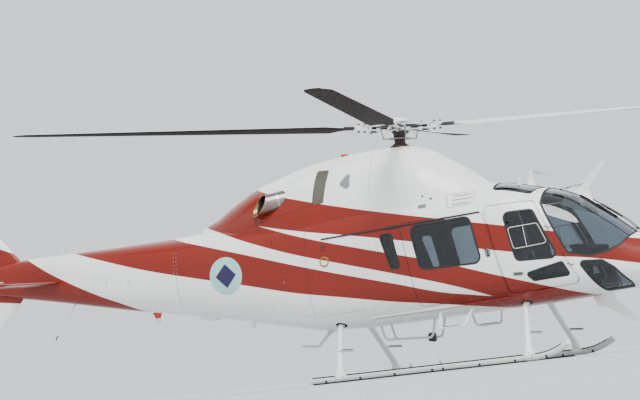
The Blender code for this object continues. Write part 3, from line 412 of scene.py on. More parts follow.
def hex_head(spot, way, radius, high, ease, drop, sunk=0.004):
    """Six-sided bolt head with an eased top: its side stops short of the top by the drop."""
    profile = ((TIP, high), (radius - ease, high), (radius, high - drop), (radius, -sunk))
    return lathe(profile, spot, way, 6)


def turned_ring(profile, spot, way, sides):
    """Turned shape that is open in the middle: the profile closes on itself."""
    rings = lathe(profile, spot, way, sides)[0].reshape(-1, sides, 3)
    return torus_like(np.swapaxes(rings, 0, 1))


def placed(shape, matrix):
    """Shape moved by a 4 by 4 matrix."""
    matrix = np.array(matrix)
    return shape[0] @ matrix[:3, :3].T + matrix[:3, 3], shape[1]


def mirrored(shape):
    """Shape on the other side of the machine, its faces turned back to point out."""
    return shape[0] * (1, -1, 1), [face[::-1] for face in shape[1]]


def strip_profile(width, high, low=-0.002):
    """Flat strip section with eased edges, sunk a little into what it lies on."""
    half, ease = width / 2, min(width, high) * 0.3
    return ((-half, low), (half, low), (half, high - ease), (half - ease, high),
            (-half + ease, high), (-half, high - ease))


def skin_strip(points, side, width, high, half=hull_half, closed=False, spacing=0.03, smooth=True):
    """Strip that lies on a skin along a line drawn in the side view."""
    line = densely(points, spacing, closed) if smooth else evenly(points, spacing)
    line = line[:-1] if closed else line
    path, normal = skin_frame(half, line[:, 0], line[:, 1], side)
    return sweep(path, normal, strip_profile(width, high), closed)


# Objects

def joined(shapes):
    """One array of points and one list of faces for several shapes."""
    points, faces, start = [], [], 0
    for shape_points, shape_faces in shapes:
        points.append(shape_points)
        faces += [[corner + start for corner in face] for face in shape_faces]
        start += len(shape_points)
    return np.concatenate(points), faces


def mesh_object(name, shapes):
    """Mesh object of some closed shapes, doubles merged and faces turned outwards."""
    points, faces = joined(shapes)
    mesh = bpy.data.meshes.new(name)
    mesh.from_pydata((points + DATUM).tolist(), [], faces)
    bm = bmesh.new()
    bm.from_mesh(mesh)
    bmesh.ops.remove_doubles(bm, verts=bm.verts, dist=0.00001)
    bmesh.ops.recalc_face_normals(bm, faces=bm.faces)
    bm.to_mesh(mesh)
    bm.free()
    obj = bpy.data.objects.new(name, mesh)
    bpy.context.scene.collection.objects.link(obj)
    return obj


def piece(name, material, shapes, *rest, **more):
    """Finished piece of some closed shapes: its object, with all that dressed() gives it."""
    return dressed(mesh_object(name, shapes), material, *rest, **more)


def dressed(obj, material, body="airframe", stands_for=None, bevel=0.0, sharp=35, slot=None):
    """Give an object its material, shading and body, and the node that it stands for. The
    slot argument is not used."""
    obj.data.materials.clear()
    obj.data.materials.append(material)
    if sharp:
        obj.data.shade_smooth()
        obj.data.set_sharp_from_angle(angle=radians(sharp))
    if bevel:
        edge = obj.modifiers.new("eased_edges", 'BEVEL')
        edge.width = bevel
        edge.segments = 2
        edge.limit_method = 'ANGLE'
        edge.angle_limit = radians(40)
    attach(obj, body)
    if stands_for:
        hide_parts(stands_for)
    return obj


def carved(name, shape, keep, cuts, level):
    """Solid after exact cuts, its normals taken from the skin's own formula: what is inside the
    one shape is kept, and then the others are cut out of it."""
    obj = mesh_object(name, [shape])
    steps = [('INTERSECT', keep)] if keep else []
    helpers = []
    for operation, other in steps + [('DIFFERENCE', cut) for cut in cuts]:
        helper = mesh_object(name + "_helper", [other])
        step = obj.modifiers.new(operation.lower(), 'BOOLEAN')
        step.operation = operation
        step.solver = 'EXACT'
        step.object = helper
        helpers.append(helper)
    bpy.context.view_layer.update()
    mesh = bpy.data.meshes.new_from_object(obj.evaluated_get(bpy.context.evaluated_depsgraph_get()))
    obj.modifiers.clear()
    obj.data = mesh
    mesh.name = name
    for helper in helpers:
        bpy.data.objects.remove(helper, do_unlink=True)
    formula_normals(mesh, level)
    return obj


def field(items, name, width=3, kind=float):
    """One value or vector of every vertex, corner or face of a mesh."""
    values = np.empty(len(items) * width, kind)
    items.foreach_get(name, values)
    return values.reshape(-1, width) if width > 1 else values


def lined(obj, level, lining):
    """Give the faces that look into the cabin their own trim."""
    mesh = obj.data
    outward = level_normals(field(mesh.polygons, "center") - DATUM, level)
    inside = (outward * field(mesh.polygons, "normal")).sum(1) < -0.3
    mesh.materials.append(lining)
    mesh.polygons.foreach_set("material_index", inside.astype(np.int32))


def formula_normals(mesh, level):
    """Corner normals: the skin's own where a face lies along the skin, else the face's."""
    smooth = level_normals(field(mesh.vertices, "co") - DATUM, level)
    smooth = smooth[field(mesh.loops, "vertex_index", 1, int)]
    flat = np.repeat(field(mesh.polygons, "normal"), field(mesh.polygons, "loop_total", 1, int), axis=0)
    lean = (smooth * flat).sum(1)
    chosen = np.where((np.abs(lean) > 0.85)[:, None], smooth * np.sign(lean)[:, None], flat)
    mesh.shade_smooth()
    mesh.normals_split_custom_set(chosen.tolist())


# Materials

def linear(code):
    """Linear colour of an sRGB hex value."""
    code = code.lstrip("#")
    parts = np.array([int(code[i:i + 2], 16) / 255 for i in (0, 2, 4)])
    parts = np.where(parts <= 0.04045, parts / 12.92, ((parts + 0.055) / 1.055) ** 2.4)
    return (*parts.tolist(), 1.0)


def add(tree, kind, inputs=(), out=0, **settings):
    """Node with its settings and its inputs: values, hex colours or other nodes' outputs. Gives
    the chosen output."""
    made = tree.nodes.new('ShaderNode' + kind)
    for name, value in settings.items():
        setattr(made, name, value)
    for name, value in (inputs if isinstance(inputs, dict) else dict(enumerate(inputs))).items():
        if isinstance(value, bpy.types.NodeSocket):
            tree.links.new(value, made.inputs[name])
        else:
            made.inputs[name].default_value = linear(value) if isinstance(value, str) else value
    return made.outputs[out]


def blank(name, **sockets):
    """New material, its tree, and its place on the object, measured from the datum. The values
    are set on the shader's own sockets."""
    material = bpy.data.materials.new(name)
    material.use_nodes = True
    tree = material.node_tree
    for socket, value in sockets.items():
        tree.nodes["Principled BSDF"].inputs[socket.replace("_", " ")].default_value = value
    place = add(tree, 'TexCoord', out="Object")
    return material, tree, add(tree, 'Mapping', {"Vector": place, "Location": (-HUB.x, 0, 0)})


def finish(material, colour, rough=None, height=None, strength=0.5, depth_mm=1.0):
    """Join a finish to its material's shader: colour, roughness and a relief of the given depth."""
    tree, relief = material.node_tree, None
    if height:
        relief = add(tree, 'Bump', {"Height": height, "Strength": strength, "Distance": depth_mm / 1000})
    for socket, output in (("Base Color", colour), ("Roughness", rough), ("Normal", relief)):
        if output:
            tree.links.new(output, tree.nodes["Principled BSDF"].inputs[socket])
    return material


def blotches(tree, place, size_mm, detail=3.0, stretch=(1, 1, 1)):
    """Cloudy pattern from 0 to 1 whose blotches are about the given size across."""
    place = add(tree, 'VectorMath', (place, stretch), operation='MULTIPLY')
    cloud = {"Vector": place, "Scale": 1000 / size_mm, "Detail": detail, "Roughness": 0.55}
    return add(tree, 'TexNoise', cloud, "Fac")


def uneven(tree, place, size_mm, low, high):
    """Value that wanders between two numbers in blotches."""
    return add(tree, 'MapRange', {"Value": blotches(tree, place, size_mm), "To Min": low, "To Max": high})


def combined(tree, operation, shares):
    """A row of shares taken together by one operation, each with the result so far."""
    return reduce(lambda total, share: add(tree, 'Math', (total, share), operation=operation), shares)


def edge_height(tree, x, points):
    """Height of a painted edge: a smooth curve z = f(x) through its points."""
    share = add(tree, 'MapRange', {"Value": x, "From Min": LIVERY_FROM, "From Max": LIVERY_TO})
    curve = add(tree, 'FloatCurve', {"Value": share})
    mapping = curve.node.mapping
    knots = mapping.curves[0].points
    places = [((px - LIVERY_FROM) / (LIVERY_TO - LIVERY_FROM), pz / LIVERY_HIGH) for px, pz in points]
    knots[0].location, knots[1].location = places[0], places[-1]
    for place in places[1:-1]:
        knots.new(*place)
    mapping.extend = 'EXTRAPOLATED'
    mapping.use_clip = False
    mapping.update()
    return add(tree, 'Math', (curve, LIVERY_HIGH), operation='MULTIPLY')


def past(tree, value, edge, way=1):
    """1 past an edge and 0 before it, or the other way about for a way of -1, over 3 mm."""
    gap = add(tree, 'Math', (value, edge), operation='SUBTRACT')
    return add(tree, 'Math', (gap, way * PAINT_EDGE, 0.0 if way > 0 else 1.0), operation='MULTIPLY_ADD',
               use_clamp=True)


def painted_area(tree, x, z, foot, top, ahead=None, behind=None):
    """Share of one stripe: over its foot, under its top, ahead of one station, behind another."""
    shares = [past(tree, z, edge_height(tree, x, foot)), past(tree, z, edge_height(tree, x, top), -1)]
    shares += [past(tree, x, ahead)] if ahead else []
    shares += [past(tree, x, behind, -1)] if behind else []
    return combined(tree, 'MULTIPLY', shares)


def gloss_enamel(name, scheme=True):
    """Two-pack polyurethane enamel sprayed on sheet: a clear gloss over even white, with the
    faint orange peel and the light streaks that rain and exhaust leave."""
    material, tree, place = blank(name, Coat_Weight=0.1, Coat_Roughness=0.05, IOR=1.42)
    x, _, z = add(tree, 'SeparateXYZ', (place,)).node.outputs
    streaks = blotches(tree, place, 420, 4.0, (0.35, 1, 2.2))
    colour = add(tree, 'Mix', {0: streaks, 6: "#F7F7F5", 7: "#E9E9E6"}, 2, data_type='RGBA')
    if scheme:
        share = combined(tree, 'MAXIMUM', [painted_area(tree, x, z, *area) for area in RED_AREAS])
        red = add(tree, 'Mix', {0: streaks, 6: "#822010", 7: "#771C0E"}, 2, data_type='RGBA')
        colour = add(tree, 'Mix', {0: share, 6: colour, 7: red}, 2, data_type='RGBA')
    soot = soot_share(tree, x, z)
    colour = add(tree, 'Mix', {0: soot, 6: colour, 7: "#5B534B"}, 2, data_type='RGBA')
    peel = blotches(tree, place, 40, 2.0)
    return finish(material, colour, uneven(tree, place, 160, 0.2, 0.34), peel, 0.1, 0.4)


def soot_share(tree, x, z):
    """Faint grey behind the exhausts: a soft cone that starts at the pipe's mouth, drops a little
    and widens as it runs aft."""
    aft = add(tree, 'Math', (SOOT_START, x), operation='SUBTRACT')
    along = add(tree, 'Math', (aft, -1 / 1.6, 1.0), operation='MULTIPLY_ADD', use_clamp=True)
    started = add(tree, 'Math', (aft, 12.0), operation='MULTIPLY', use_clamp=True)
    middle = add(tree, 'Math', (aft, -0.06, SOOT_HEIGHT), operation='MULTIPLY_ADD')
    width = add(tree, 'Math', (aft, 0.1, 0.1), operation='MULTIPLY_ADD')
    lift = add(tree, 'Math', (add(tree, 'Math', (z, middle), operation='SUBTRACT'),), operation='ABSOLUTE')
    lift = add(tree, 'Math', (lift, width), operation='DIVIDE')
    across = add(tree, 'Math', (lift, -1.0, 1.0), operation='MULTIPLY_ADD', use_clamp=True)
    return combined(tree, 'MULTIPLY', (along, started, across, 0.16))


def simple(name, colour, second, size_mm, rough, metallic=0.0, relief_mm=0.0, relief_size=6,
           stretch=(1, 1, 1), **sockets):
    """Finish with two close tones in blotches of a real size, uneven gloss and a fine relief."""
    material, tree, place = blank(name, Metallic=metallic, **sockets)
    cloud = blotches(tree, place, size_mm, 4.0, stretch)
    tone = add(tree, 'Mix', {0: cloud, 6: colour, 7: second}, 2, data_type='RGBA')
    height = blotches(tree, place, relief_size, 3.0, stretch) if relief_mm else None
    return finish(material, tone, uneven(tree, place, size_mm * 0.6, *rough), height, 0.5, relief_mm)


def woven_cloth(name, colour, second):
    """Woven wool blend: threads about 1.6 mm apart (drawn 4 mm apart so that they show), a soft
    sheen at grazing angles and no gloss."""
    material, tree, place = blank(name, Roughness=0.92, Sheen_Weight=0.35, Sheen_Roughness=0.5)
    thread = {"Vector": place, "Scale": 80.0, "Distortion": 0.6}
    warp, weft, rise = (add(tree, 'TexWave', thread, "Fac", bands_direction=way) for way in 'XYZ')
    weave = add(tree, 'Math', (warp, weft), operation='ADD')
    weave = add(tree, 'Math', (weave, rise), operation='MULTIPLY')
    tone = add(tree, 'Mix', {0: weave, 6: colour, 7: second}, 2, data_type='RGBA')
    return finish(material, tone, None, weave, 0.5, 0.8)


def tinted_acrylic(name, tint):
    """Cast acrylic sheet with a light grey tint: sharp reflections over a clear body."""
    material, tree, place = blank(name, Transmission_Weight=1.0, IOR=1.49)
    material.diffuse_color = linear(tint)
    cloud = blotches(tree, place, 300)
    tone = add(tree, 'Mix', {0: cloud, 6: tint, 7: "#A9B4BC"}, 2, data_type='RGBA')
    return finish(material, tone, uneven(tree, place, 90, 0.015, 0.05))


def heat_tinted_steel(name):
    """Stainless pipe that has run hot: straw and brown tints in bands along it, soft gloss."""
    material, tree, place = blank(name, Metallic=1.0)
    x = add(tree, 'SeparateXYZ', (place,))
    band = add(tree, 'MapRange', {"Value": x, "From Min": -2.05, "From Max": -1.55})
    band = add(tree, 'Math', (blotches(tree, place, 60), 0.35, band), operation='MULTIPLY_ADD')
    ramp = add(tree, 'ValToRGB', {"Fac": band})
    stops = ramp.node.color_ramp.elements
    stops[0].color, stops[1].color = linear("#6E5E52"), linear("#8E8A86")
    for station, tint in ((0.25, "#8A6A4A"), (0.5, "#B08E62"), (0.75, "#8F7A78")):
        stops.new(station).color = linear(tint)
    return finish(material, ramp, uneven(tree, place, 30, 0.25, 0.45), blotches(tree, place, 12), 0.2, 0.4)


def intake_mesh(name):
    """Woven wire screen over the intake: wires 3 mm apart (drawn 9 mm), the openings between them painted
    dark as the shade inside the intake.
    """
    material, tree, place = blank(name, Metallic=0.7, Roughness=0.55)
    wires = {"Vector": place, "Scale": 35.0}
    across, upright = (add(tree, 'TexWave', wires, "Fac", bands_direction=way) for way in 'XZ')
    wire = add(tree, 'Math', (across, upright), operation='MAXIMUM')
    # The dark tone between the wires is painted shade of the hollow intake behind the screen.
    tone = add(tree, 'Mix', {0: wire, 6: "#171815", 7: "#6E6D60"}, 2, data_type='RGBA')
    return finish(material, tone, None, wire, 0.8, 2.0)


WHITE = gloss_enamel("white_polyurethane_enamel", scheme=False)
LIVERY = gloss_enamel("striped_polyurethane_enamel")
ROOM_TRIM = simple("moulded_abs_trim", "#6A6D70", "#5E6164", 120, (0.5, 0.7), relief_mm=0.4, relief_size=3)
FLOOR_MAT = simple("ribbed_cabin_carpet", "#3C4046", "#2F3338", 14, (0.85, 0.95), relief_mm=1.2,
                   relief_size=5)
RUBBER = simple("epdm_rubber_seal", "#17181A", "#202123", 40, (0.55, 0.75), relief_mm=0.2)
BLACK_PAINT = simple("satin_black_paint", "#1C1D1F", "#26272A", 90, (0.35, 0.5), relief_mm=0.2)
GRIP_TAPE = simple("gritted_walkway_tape", "#1A1A1B", "#2B2B2C", 6, (0.8, 0.95), relief_mm=0.8, relief_size=3)
SKID_GREY = simple("grey_enamelled_skid_tube", "#D9D9D6", "#C6C6C2", 200, (0.3, 0.5), relief_mm=0.2)
FITTING = simple("grey_anodised_fitting", "#9A9C9E", "#85878A", 30, (0.3, 0.45), 0.9, relief_mm=0.2)
STEEL = simple("ground_steel", "#B9BBBD", "#A5A7A9", 25, (0.2, 0.35), 1.0, relief_mm=0.1)
DARK_METAL = simple("phosphated_steel", "#3B3C3E", "#4A4B4D", 30, (0.4, 0.6), 0.8, relief_mm=0.2)
HUB_PAINT = simple("white_epoxy_on_alloy", "#E6E6E3", "#D5D5D0", 60, (0.3, 0.45), relief_mm=0.2)
BOOT = simple("brown_rubberised_boot", "#4A3A33", "#3A2E29", 40, (0.6, 0.8), relief_mm=0.8, relief_size=8)
BLADE_TOP = simple("white_blade_enamel", "#E4E4E1", "#D2D2CE", 300, (0.3, 0.45))
# Dark finish of the faces on the blades' undersides, given to every face that does not look up.
BLADE_FOOT = simple("dark_blade_underside_finish", "#2C2524", "#211C1B", 200, (0.75, 0.9), Specular_IOR_Level=0.2)
CLOTH = woven_cloth("woven_wool_blend", "#2A3038", "#454E59")
LEATHER = simple("sewn_grey_leather", "#33363B", "#3D4147", 25, (0.45, 0.6), relief_mm=0.7, relief_size=4)
WEBBING = simple("polyester_webbing", "#1E2A3C", "#2A374B", 5, (0.7, 0.85), relief_mm=0.5, relief_size=2)
GLASS = tinted_acrylic("grey_cast_acrylic", "#8E9AA3")
CHIN_GLASS = tinted_acrylic("dark_cast_acrylic", "#5A646C")
PIPE = heat_tinted_steel("heat_tinted_stainless")
SOOT = simple("sooted_steel_bore", "#15130F", "#241F1A", 60, (0.7, 0.9), 0.3, relief_mm=0.5)
SCREEN = intake_mesh("wire_screen_over_painted_shade")
CAST = simple("cast_aluminium_casing", "#8B8D8E", "#77797A", 50, (0.45, 0.6), 0.8, relief_mm=0.8,
              relief_size=4)
RED_LENS = simple("red_acrylic_lens", "#C03418", "#D64A20", 30, (0.1, 0.2), Transmission_Weight=0.3)
CLEAR_LENS = simple("clear_acrylic_lens", "#E8ECEE", "#DADFE2", 30, (0.05, 0.12), Transmission_Weight=0.7)
AQUA = simple("aqua_enamel", "#A3D4CF", "#97CAC5", 200, (0.25, 0.4))
NAVY = simple("navy_enamel", "#2A1E4E", "#241944", 200, (0.25, 0.4))
TAN = simple("tan_gold_ring", "#B08A4E", "#9C7840", 20, (0.3, 0.45), 0.6)
PANEL_FACE = simple("matt_black_panel_face", "#141517", "#1E1F22", 40, (0.6, 0.75), relief_mm=0.3)
SCREEN_GLOW = simple("dark_display_glass", "#10181F", "#17222B", 200, (0.08, 0.15))


# The hull's skins, doors and glass, at the solids' own places

def sill_wedge(side, gap, radius):
    """Crew door outline as a loft from |Y| 0.3 to 1.2 whose sill slopes down and outwards."""
    heel, foot, front_head, back_head = (np.array(c) for c in CREW_DOOR)
    rings = []
    for reach in (0.3, 1.2):
        drop = -DOOR_BEVEL * (reach - 0.71) / (front_head[1] - foot[1])
        corners = np.array((heel + (back_head - heel) * drop, foot + (front_head - foot) * drop,
                            front_head, back_head))
        corners = grown(corners, -gap)
        if gap:
            rise = DOOR_TOE / (corners[2][1] - corners[1][1])
            corners[1] += (corners[2] - corners[1]) * rise
        outline = corner_arcs(corners, radius)
        rings.append(xyz(outline[:, 0], side * reach, outline[:, 1]))
    return loft(np.stack(rings))


def side_prism(outline, amount, radius, side=0, inner=0.3):
    """Rounded side-view outline through one wall, or through both where side is 0."""
    low, high = (-1.2, 1.2) if side == 0 else sorted((side * inner, side * 1.2))
    return prism(corner_arcs(grown(outline, amount), radius + amount), low, high)


def gear_tube_path(saddle_x, entry_x):
    """Centre line of a cross tube from the starboard to the port skid."""
    corners = np.array([(saddle_x, SKID_HALF, SKID_HEIGHT + 0.06), (saddle_x - 0.01, SKID_HALF - 0.03, 0.2),
                        (entry_x, 0.545, 0.735), (entry_x, 0.4, 0.795), (entry_x, 0.0, 0.795)])
    port = eased_path(corners, 0.12)
    return np.vstack([port * (1, -1, 1), port[-2::-1]])


def eased_path(corners, radius, steps=8):
    """Open path with each inner corner turned into an arc."""
    arcs = corner_arcs(corners, radius, steps)[steps + 1:-steps - 1]
    return np.vstack([corners[:1], arcs, corners[-1:]])


SKID_HALF, SKID_HEIGHT, SKID_RADIUS = 1.07, 0.055, 0.045
SKID_BACK, SKID_BEND = -1.27, 1.86
GEAR_TUBE_RADIUS = 0.038
GEAR = {"front": (1.78, 1.64), "rear": (-0.82, -0.95)}


def skin(name, shape, keep=None, cuts=(), stands_for=None, body="airframe", material=LIVERY, lining=None,
         level=hull_level, slot=None):
    """Piece carved from the hull or a cowl, with its finish, and a lining on its inner faces."""
    obj = dressed(carved(name, shape, keep, cuts, level), material, body, stands_for, sharp=0, slot=slot)
    if lining:
        lined(obj, level, lining)


def cabin_skins():
    """Cabin shell, crew doors and cabin doors: walls cut by the same outlines as the solids."""
    cuts = [hull_solid(BULKHEAD + CABIN_WALL, 3.68, CABIN_WALL, 0.1, 64),
            hull_solid(CABIN_BACK - 0.02, BULKHEAD, CABIN_WALL, 0.1, 64),
            side_prism(CABIN_DOOR, 0.0, 0.07), side_prism(SLOT_WINDOW, 0.0, 0.05)]
    for side, tag in SIDES:
        brow = corner_arcs([(x, side * y) for x, y in EYEBROW[::side]], 0.05)
        cuts += [sill_wedge(side, 0.0, 0.07), side_prism(WINDSHIELD, 0.0, 0.05, side, CENTRE_POST),
                 side_prism(CHIN_WINDOW, 0.0, 0.04, side, CHIN_POST), prism(brow, 1.9, 2.6, 'Z')]
    cuts += [rod(gear_tube_path(*leg), GEAR_TUBE_RADIUS + 0.018, 24, AHEAD) for leg in GEAR.values()]
    skin("cabin_skin", hull_solid(CABIN_BACK, NOSE), None, cuts, "cabin_shell", lining=ROOM_TRIM)
    for side, tag in SIDES:
        skin("crew_door_skin_" + tag, hull_band(1.1, 2.6, 0.0, CABIN_WALL),
             sill_wedge(side, DOOR_GAP, 0.07 - DOOR_GAP),
             (side_prism(CREW_WINDOW, 0.0, 0.07), side_prism(LOWER_WINDOW, 0.0, 0.03)),
             "crew_door_" + tag, "crew_door_" + tag, lining=ROOM_TRIM)
        skin("cabin_door_skin_" + tag, hull_band(-0.1, 1.6, 0.0, CABIN_WALL),
             side_prism(CABIN_DOOR, -0.002, 0.07, side), (side_prism(CABIN_WINDOW, 0.0, 0.09),),
             "cabin_door_" + tag, lining=ROOM_TRIM)


def rear_skins():
    """Rear fuselage, baggage door and tail boom."""
    hold = hull_solid(REAR_END - 0.05, CABIN_BACK + 0.05, REAR_WALL, 0.1, 64)
    skin("rear_skin", hull_solid(REAR_END + GAP, CABIN_BACK - GAP), None,
         (hold, side_prism(BAGGAGE_DOOR, 0.0, 0.06, 1)), "rear_fuselage", lining=ROOM_TRIM)
    door = side_prism(BAGGAGE_DOOR, -DOOR_GAP, 0.06, 1)
    skin("baggage_door_skin", hull_band(-2.1, -1.3, 0.0, REAR_WALL), door, (), "baggage_door",
         "baggage_door", lining=ROOM_TRIM)
    skin("tail_boom_skin", hull_solid(BOOM_END, REAR_END, step=0.08), stands_for="tail_boom")


def boom_end_cap():
    """Moulded cap on the boom's end: the last hull ring shrinks by a cosine while it runs aft by
    a sine. The white tail lamp sits in its middle."""
    ring = hull_rings(BOOM_END - GAP)[0]
    middle = ring.mean(0)
    angle = np.linspace(0, pi / 2, 14)[:, None, None]
    rings = middle + (ring - middle) * np.maximum(np.cos(angle), 0.01)
    rings = rings - np.sin(angle) * np.array((BOOM_CAP, 0, 0))
    piece("boom_end_cap", LIVERY, [loft(rings)], sharp=60)
    piece("tail_lamp", CLEAR_LENS,
          [lathe(((TIP, 0.03), (0.014, 0.028), (0.024, 0.018), (0.028, 0.004), (0.03, -0.012)),
                 middle - (BOOM_CAP, 0, 0), (-1, 0, 0), 32)])


EXHAUST = ((-1.5, 0.37, 2.53), (-2.03, 0.66, 2.46))
EXHAUST_RADIUS = 0.135


def cowl_skins():
    """Forward and engine cowls with the mast's and the exhausts' ways and the intake pockets."""
    inner = [cowl_solid(np.linspace(-2.8, 1.08, 40), COWL_WALL, 49), hull_solid(-3.2, 1.5, -GAP, 0.1, 80)]
    hub = np.array((0, 0, ROTOR_HEIGHT))
    mast = rod((hub - 0.55 * np.array(MAST_WAY), hub), 0.088, 32, ACROSS)
    skin("forward_cowl_skin", cowl_solid(np.linspace(COWL_SPLIT, 1.26, 40)), None, inner + [mast],
         "forward_cowl", level=cowl_level, slot="white_paint")
    for side, pocket in ((1, intake_pocket()), (-1, mirrored(intake_pocket()))):
        inner += [rod(np.array(EXHAUST) * (1, side, 1), EXHAUST_RADIUS + 0.004, 40), pocket]
    skin("engine_cowl_skin", cowl_solid(np.linspace(-3.0, COWL_SPLIT - GAP, 70)), None, inner,
         "engine_cowl", level=cowl_level)


def intake_pocket():
    """Intake pocket on the port side: the intake's outline carried from 14 mm under the cowl's
    skin to well outside it, each point at the skin's own half width."""
    outline = corner_arcs(INTAKE, 0.03)
    half = cowl_half(outline[:, 0], outline[:, 1])
    return loft(np.stack([xyz(outline[:, 0], half + reach, outline[:, 1]) for reach in (-0.014, 0.1)]))


def glass_panes():
    """Acrylic panes, each a thin band of the hull inside its outline, with its black rubber seal
    standing 2 mm proud round the edge."""
    for side, tag in SIDES:
        door = "crew_door_" + tag
        brow = [(x, side * y) for x, y in EYEBROW[::side]]
        for title, outline, radius, inner, span, body, tint in (
                ("crew_window_", CREW_WINDOW, 0.07, 0.3, (1.4, 2.4), door, GLASS),
                ("lower_window_", LOWER_WINDOW, 0.03, 0.3, (1.6, 2.5), door, CHIN_GLASS),
                ("cabin_window_", CABIN_WINDOW, 0.09, 0.3, (0.1, 1.4), "airframe", GLASS),
                ("slot_window_", SLOT_WINDOW, 0.05, 0.3, (-0.3, 0.2), "airframe", GLASS),
                ("windshield_", WINDSHIELD, 0.05, CENTRE_POST, (1.9, 3.3), "airframe", GLASS),
                ("chin_window_", CHIN_WINDOW, 0.04, CHIN_POST, (2.3, 3.3), "airframe", CHIN_GLASS),
                ("eyebrow_", brow, 0.05, None, (1.2, 2.2), "airframe", GLASS)):
            def cut(amount, trim=0.0):
                """This window's outline moved out by the amount, as a solid through its wall."""
                if inner is None:
                    return prism(corner_arcs(grown(brow, amount), max(radius + amount, 0.01)), 1.9, 2.6, 'Z')
                return side_prism(outline, amount, radius, side, inner + trim)
            skin(title + "pane_" + tag, hull_band(*span, GLASS_SET_IN, GLASS_SET_IN + GLASS_THICK),
                 cut(-GAP, GAP), (), title + tag, body, tint)
            skin(title + "seal_" + tag, hull_band(*span, -0.0025, 0.004),
                 cut(0.012, -0.012), (cut(-0.013, 0.013),), None, body, RUBBER)


# Landing gear

SKID_CLAMPS = (-1.02, -0.54, -0.06, 0.46, 0.61, 1.11, 1.59, 2.01)
SKID_LUGS = {"left": (-0.61, -0.17), "right": (-0.61, 1.86)}
SKID_NOSE_RUN, SKID_NOSE_RISE = 0.47, 0.145
WALKWAY_FRONT = 2.25
LUG = np.array(((-0.03, -0.012), (0.035, -0.012), (0.012, 0.03), (0.004, 0.07), (-0.012, 0.07),
                (-0.012, 0.02)))
# Saddle sections: height, half length, half width
SADDLE = ((SKID_HEIGHT, 0.08, 0.0505), (0.098, 0.08, 0.0505), (0.112, 0.062, 0.0505), (0.15, 0.05, 0.046),
          (0.215, 0.044, 0.044))
SADDLE_TOP_BEND = 0.115


def skid_height(x):
    """Skid's centre line: level, then rising with the square of the way past the bend."""
    return SKID_HEIGHT + SKID_NOSE_RISE * np.maximum(0, (x - SKID_BEND) / SKID_NOSE_RUN) ** 2


def skid_line(side):
    """Points along a skid's centre line, closer together where it rises."""
    x = np.concatenate([np.linspace(SKID_BACK, SKID_BEND, 60, endpoint=False),
                        np.linspace(SKID_BEND, SKID_BEND + SKID_NOSE_RUN, 16)])
    return xyz(x, side * SKID_HALF, skid_height(x))


def skid_plug(end, before):
    """Domed plug in a skid tube's end: a quarter circle squashed along the tube."""
    angle = np.linspace(0, pi / 2, 7)[:-1]
    dome = np.stack([(SKID_RADIUS - 0.002) * np.cos(angle), 0.028 * np.sin(angle) - 0.03], -1)
    return lathe(np.vstack([(0.04, -0.05), dome, (0.002, -0.002)]), end, end - before, 32)


def ring_profile(inner, outer, first, last, steps=14):
    """Part of a ring's section between two angles, as a closed outline (across, up)."""
    angle = np.radians(np.linspace(first, last, steps))
    out = np.stack([np.cos(angle), np.sin(angle)], -1)
    return np.vstack([out * outer, out[::-1] * inner])


def skids():
    """White skid tubes with round plugs, a black walkway strip on top, a steel wear shoe below,
    dark clamps and small ground-handling lugs."""
    for side, tag in SIDES:
        line, y = skid_line(side), side * SKID_HALF
        tube = np.vstack([line[:1] + (0.03, 0, 0), line[1:-1], line[-1:] - (0.028, 0, 0.016)])
        piece("skid_tube_" + tag, SKID_GREY, [rod(tube, SKID_RADIUS - 0.001, 32)], stands_for="skid_" + tag)
        piece("skid_plugs_" + tag, WHITE, [skid_plug(line[0], line[1]), skid_plug(line[-1], line[-2])])
        walk = line[(line[:, 0] > SKID_BACK + 0.05) & (line[:, 0] < WALKWAY_FRONT)]
        strip = ring_profile(SKID_RADIUS - 0.004, SKID_RADIUS + 0.002, 42, 138)
        piece("skid_walkway_" + tag, GRIP_TAPE, [sweep(walk, UP, strip)])
        shoe = sweep(((SKID_BACK + 0.06, y, 0), (SKID_BEND - 0.12, y, 0)), UP,
                     ((-0.028, 0.0), (0.028, 0.0), (0.028, 0.03), (-0.028, 0.03)))
        piece("skid_shoe_" + tag, DARK_METAL, [shoe], bevel=0.003, slot="gear_metal")
        band = ring_profile(SKID_RADIUS - 0.004, SKID_RADIUS + 0.003, -172, -8, 30)
        clamps = [sweep([(x + end, y, skid_height(x)) for end in (-0.013, 0.013)], UP, band)
                  for x in SKID_CLAMPS]
        piece("skid_clamps_" + tag, DARK_METAL, clamps)
        top = SKID_HEIGHT + SKID_RADIUS
        lugs = [plate(LUG + (x, top), 0.006, y - 0.006, y + 0.006, 3) for x in SKID_LUGS[tag]]
        piece("skid_lugs_" + tag, WHITE, lugs)


def saddle(middle_x, side):
    """Cast saddle: rounded rectangles that shrink as they rise, and lean with the tube."""
    rings = []
    for z, half_x, half_y in SADDLE:
        lean = max(0.0, z - SADDLE_TOP_BEND)
        x, y = middle_x - 0.12 * lean, side * (SKID_HALF - 0.3 * lean)
        corners = [(x + a * half_x, y + b * half_y) for a, b in ((-1, -1), (1, -1), (1, 1), (-1, 1))]
        ring = corner_arcs(corners, min(half_y * 0.9, 0.02 + z * 0.1), 4)
        rings.append(xyz(*ring.T, z))
    return loft(np.stack(rings))


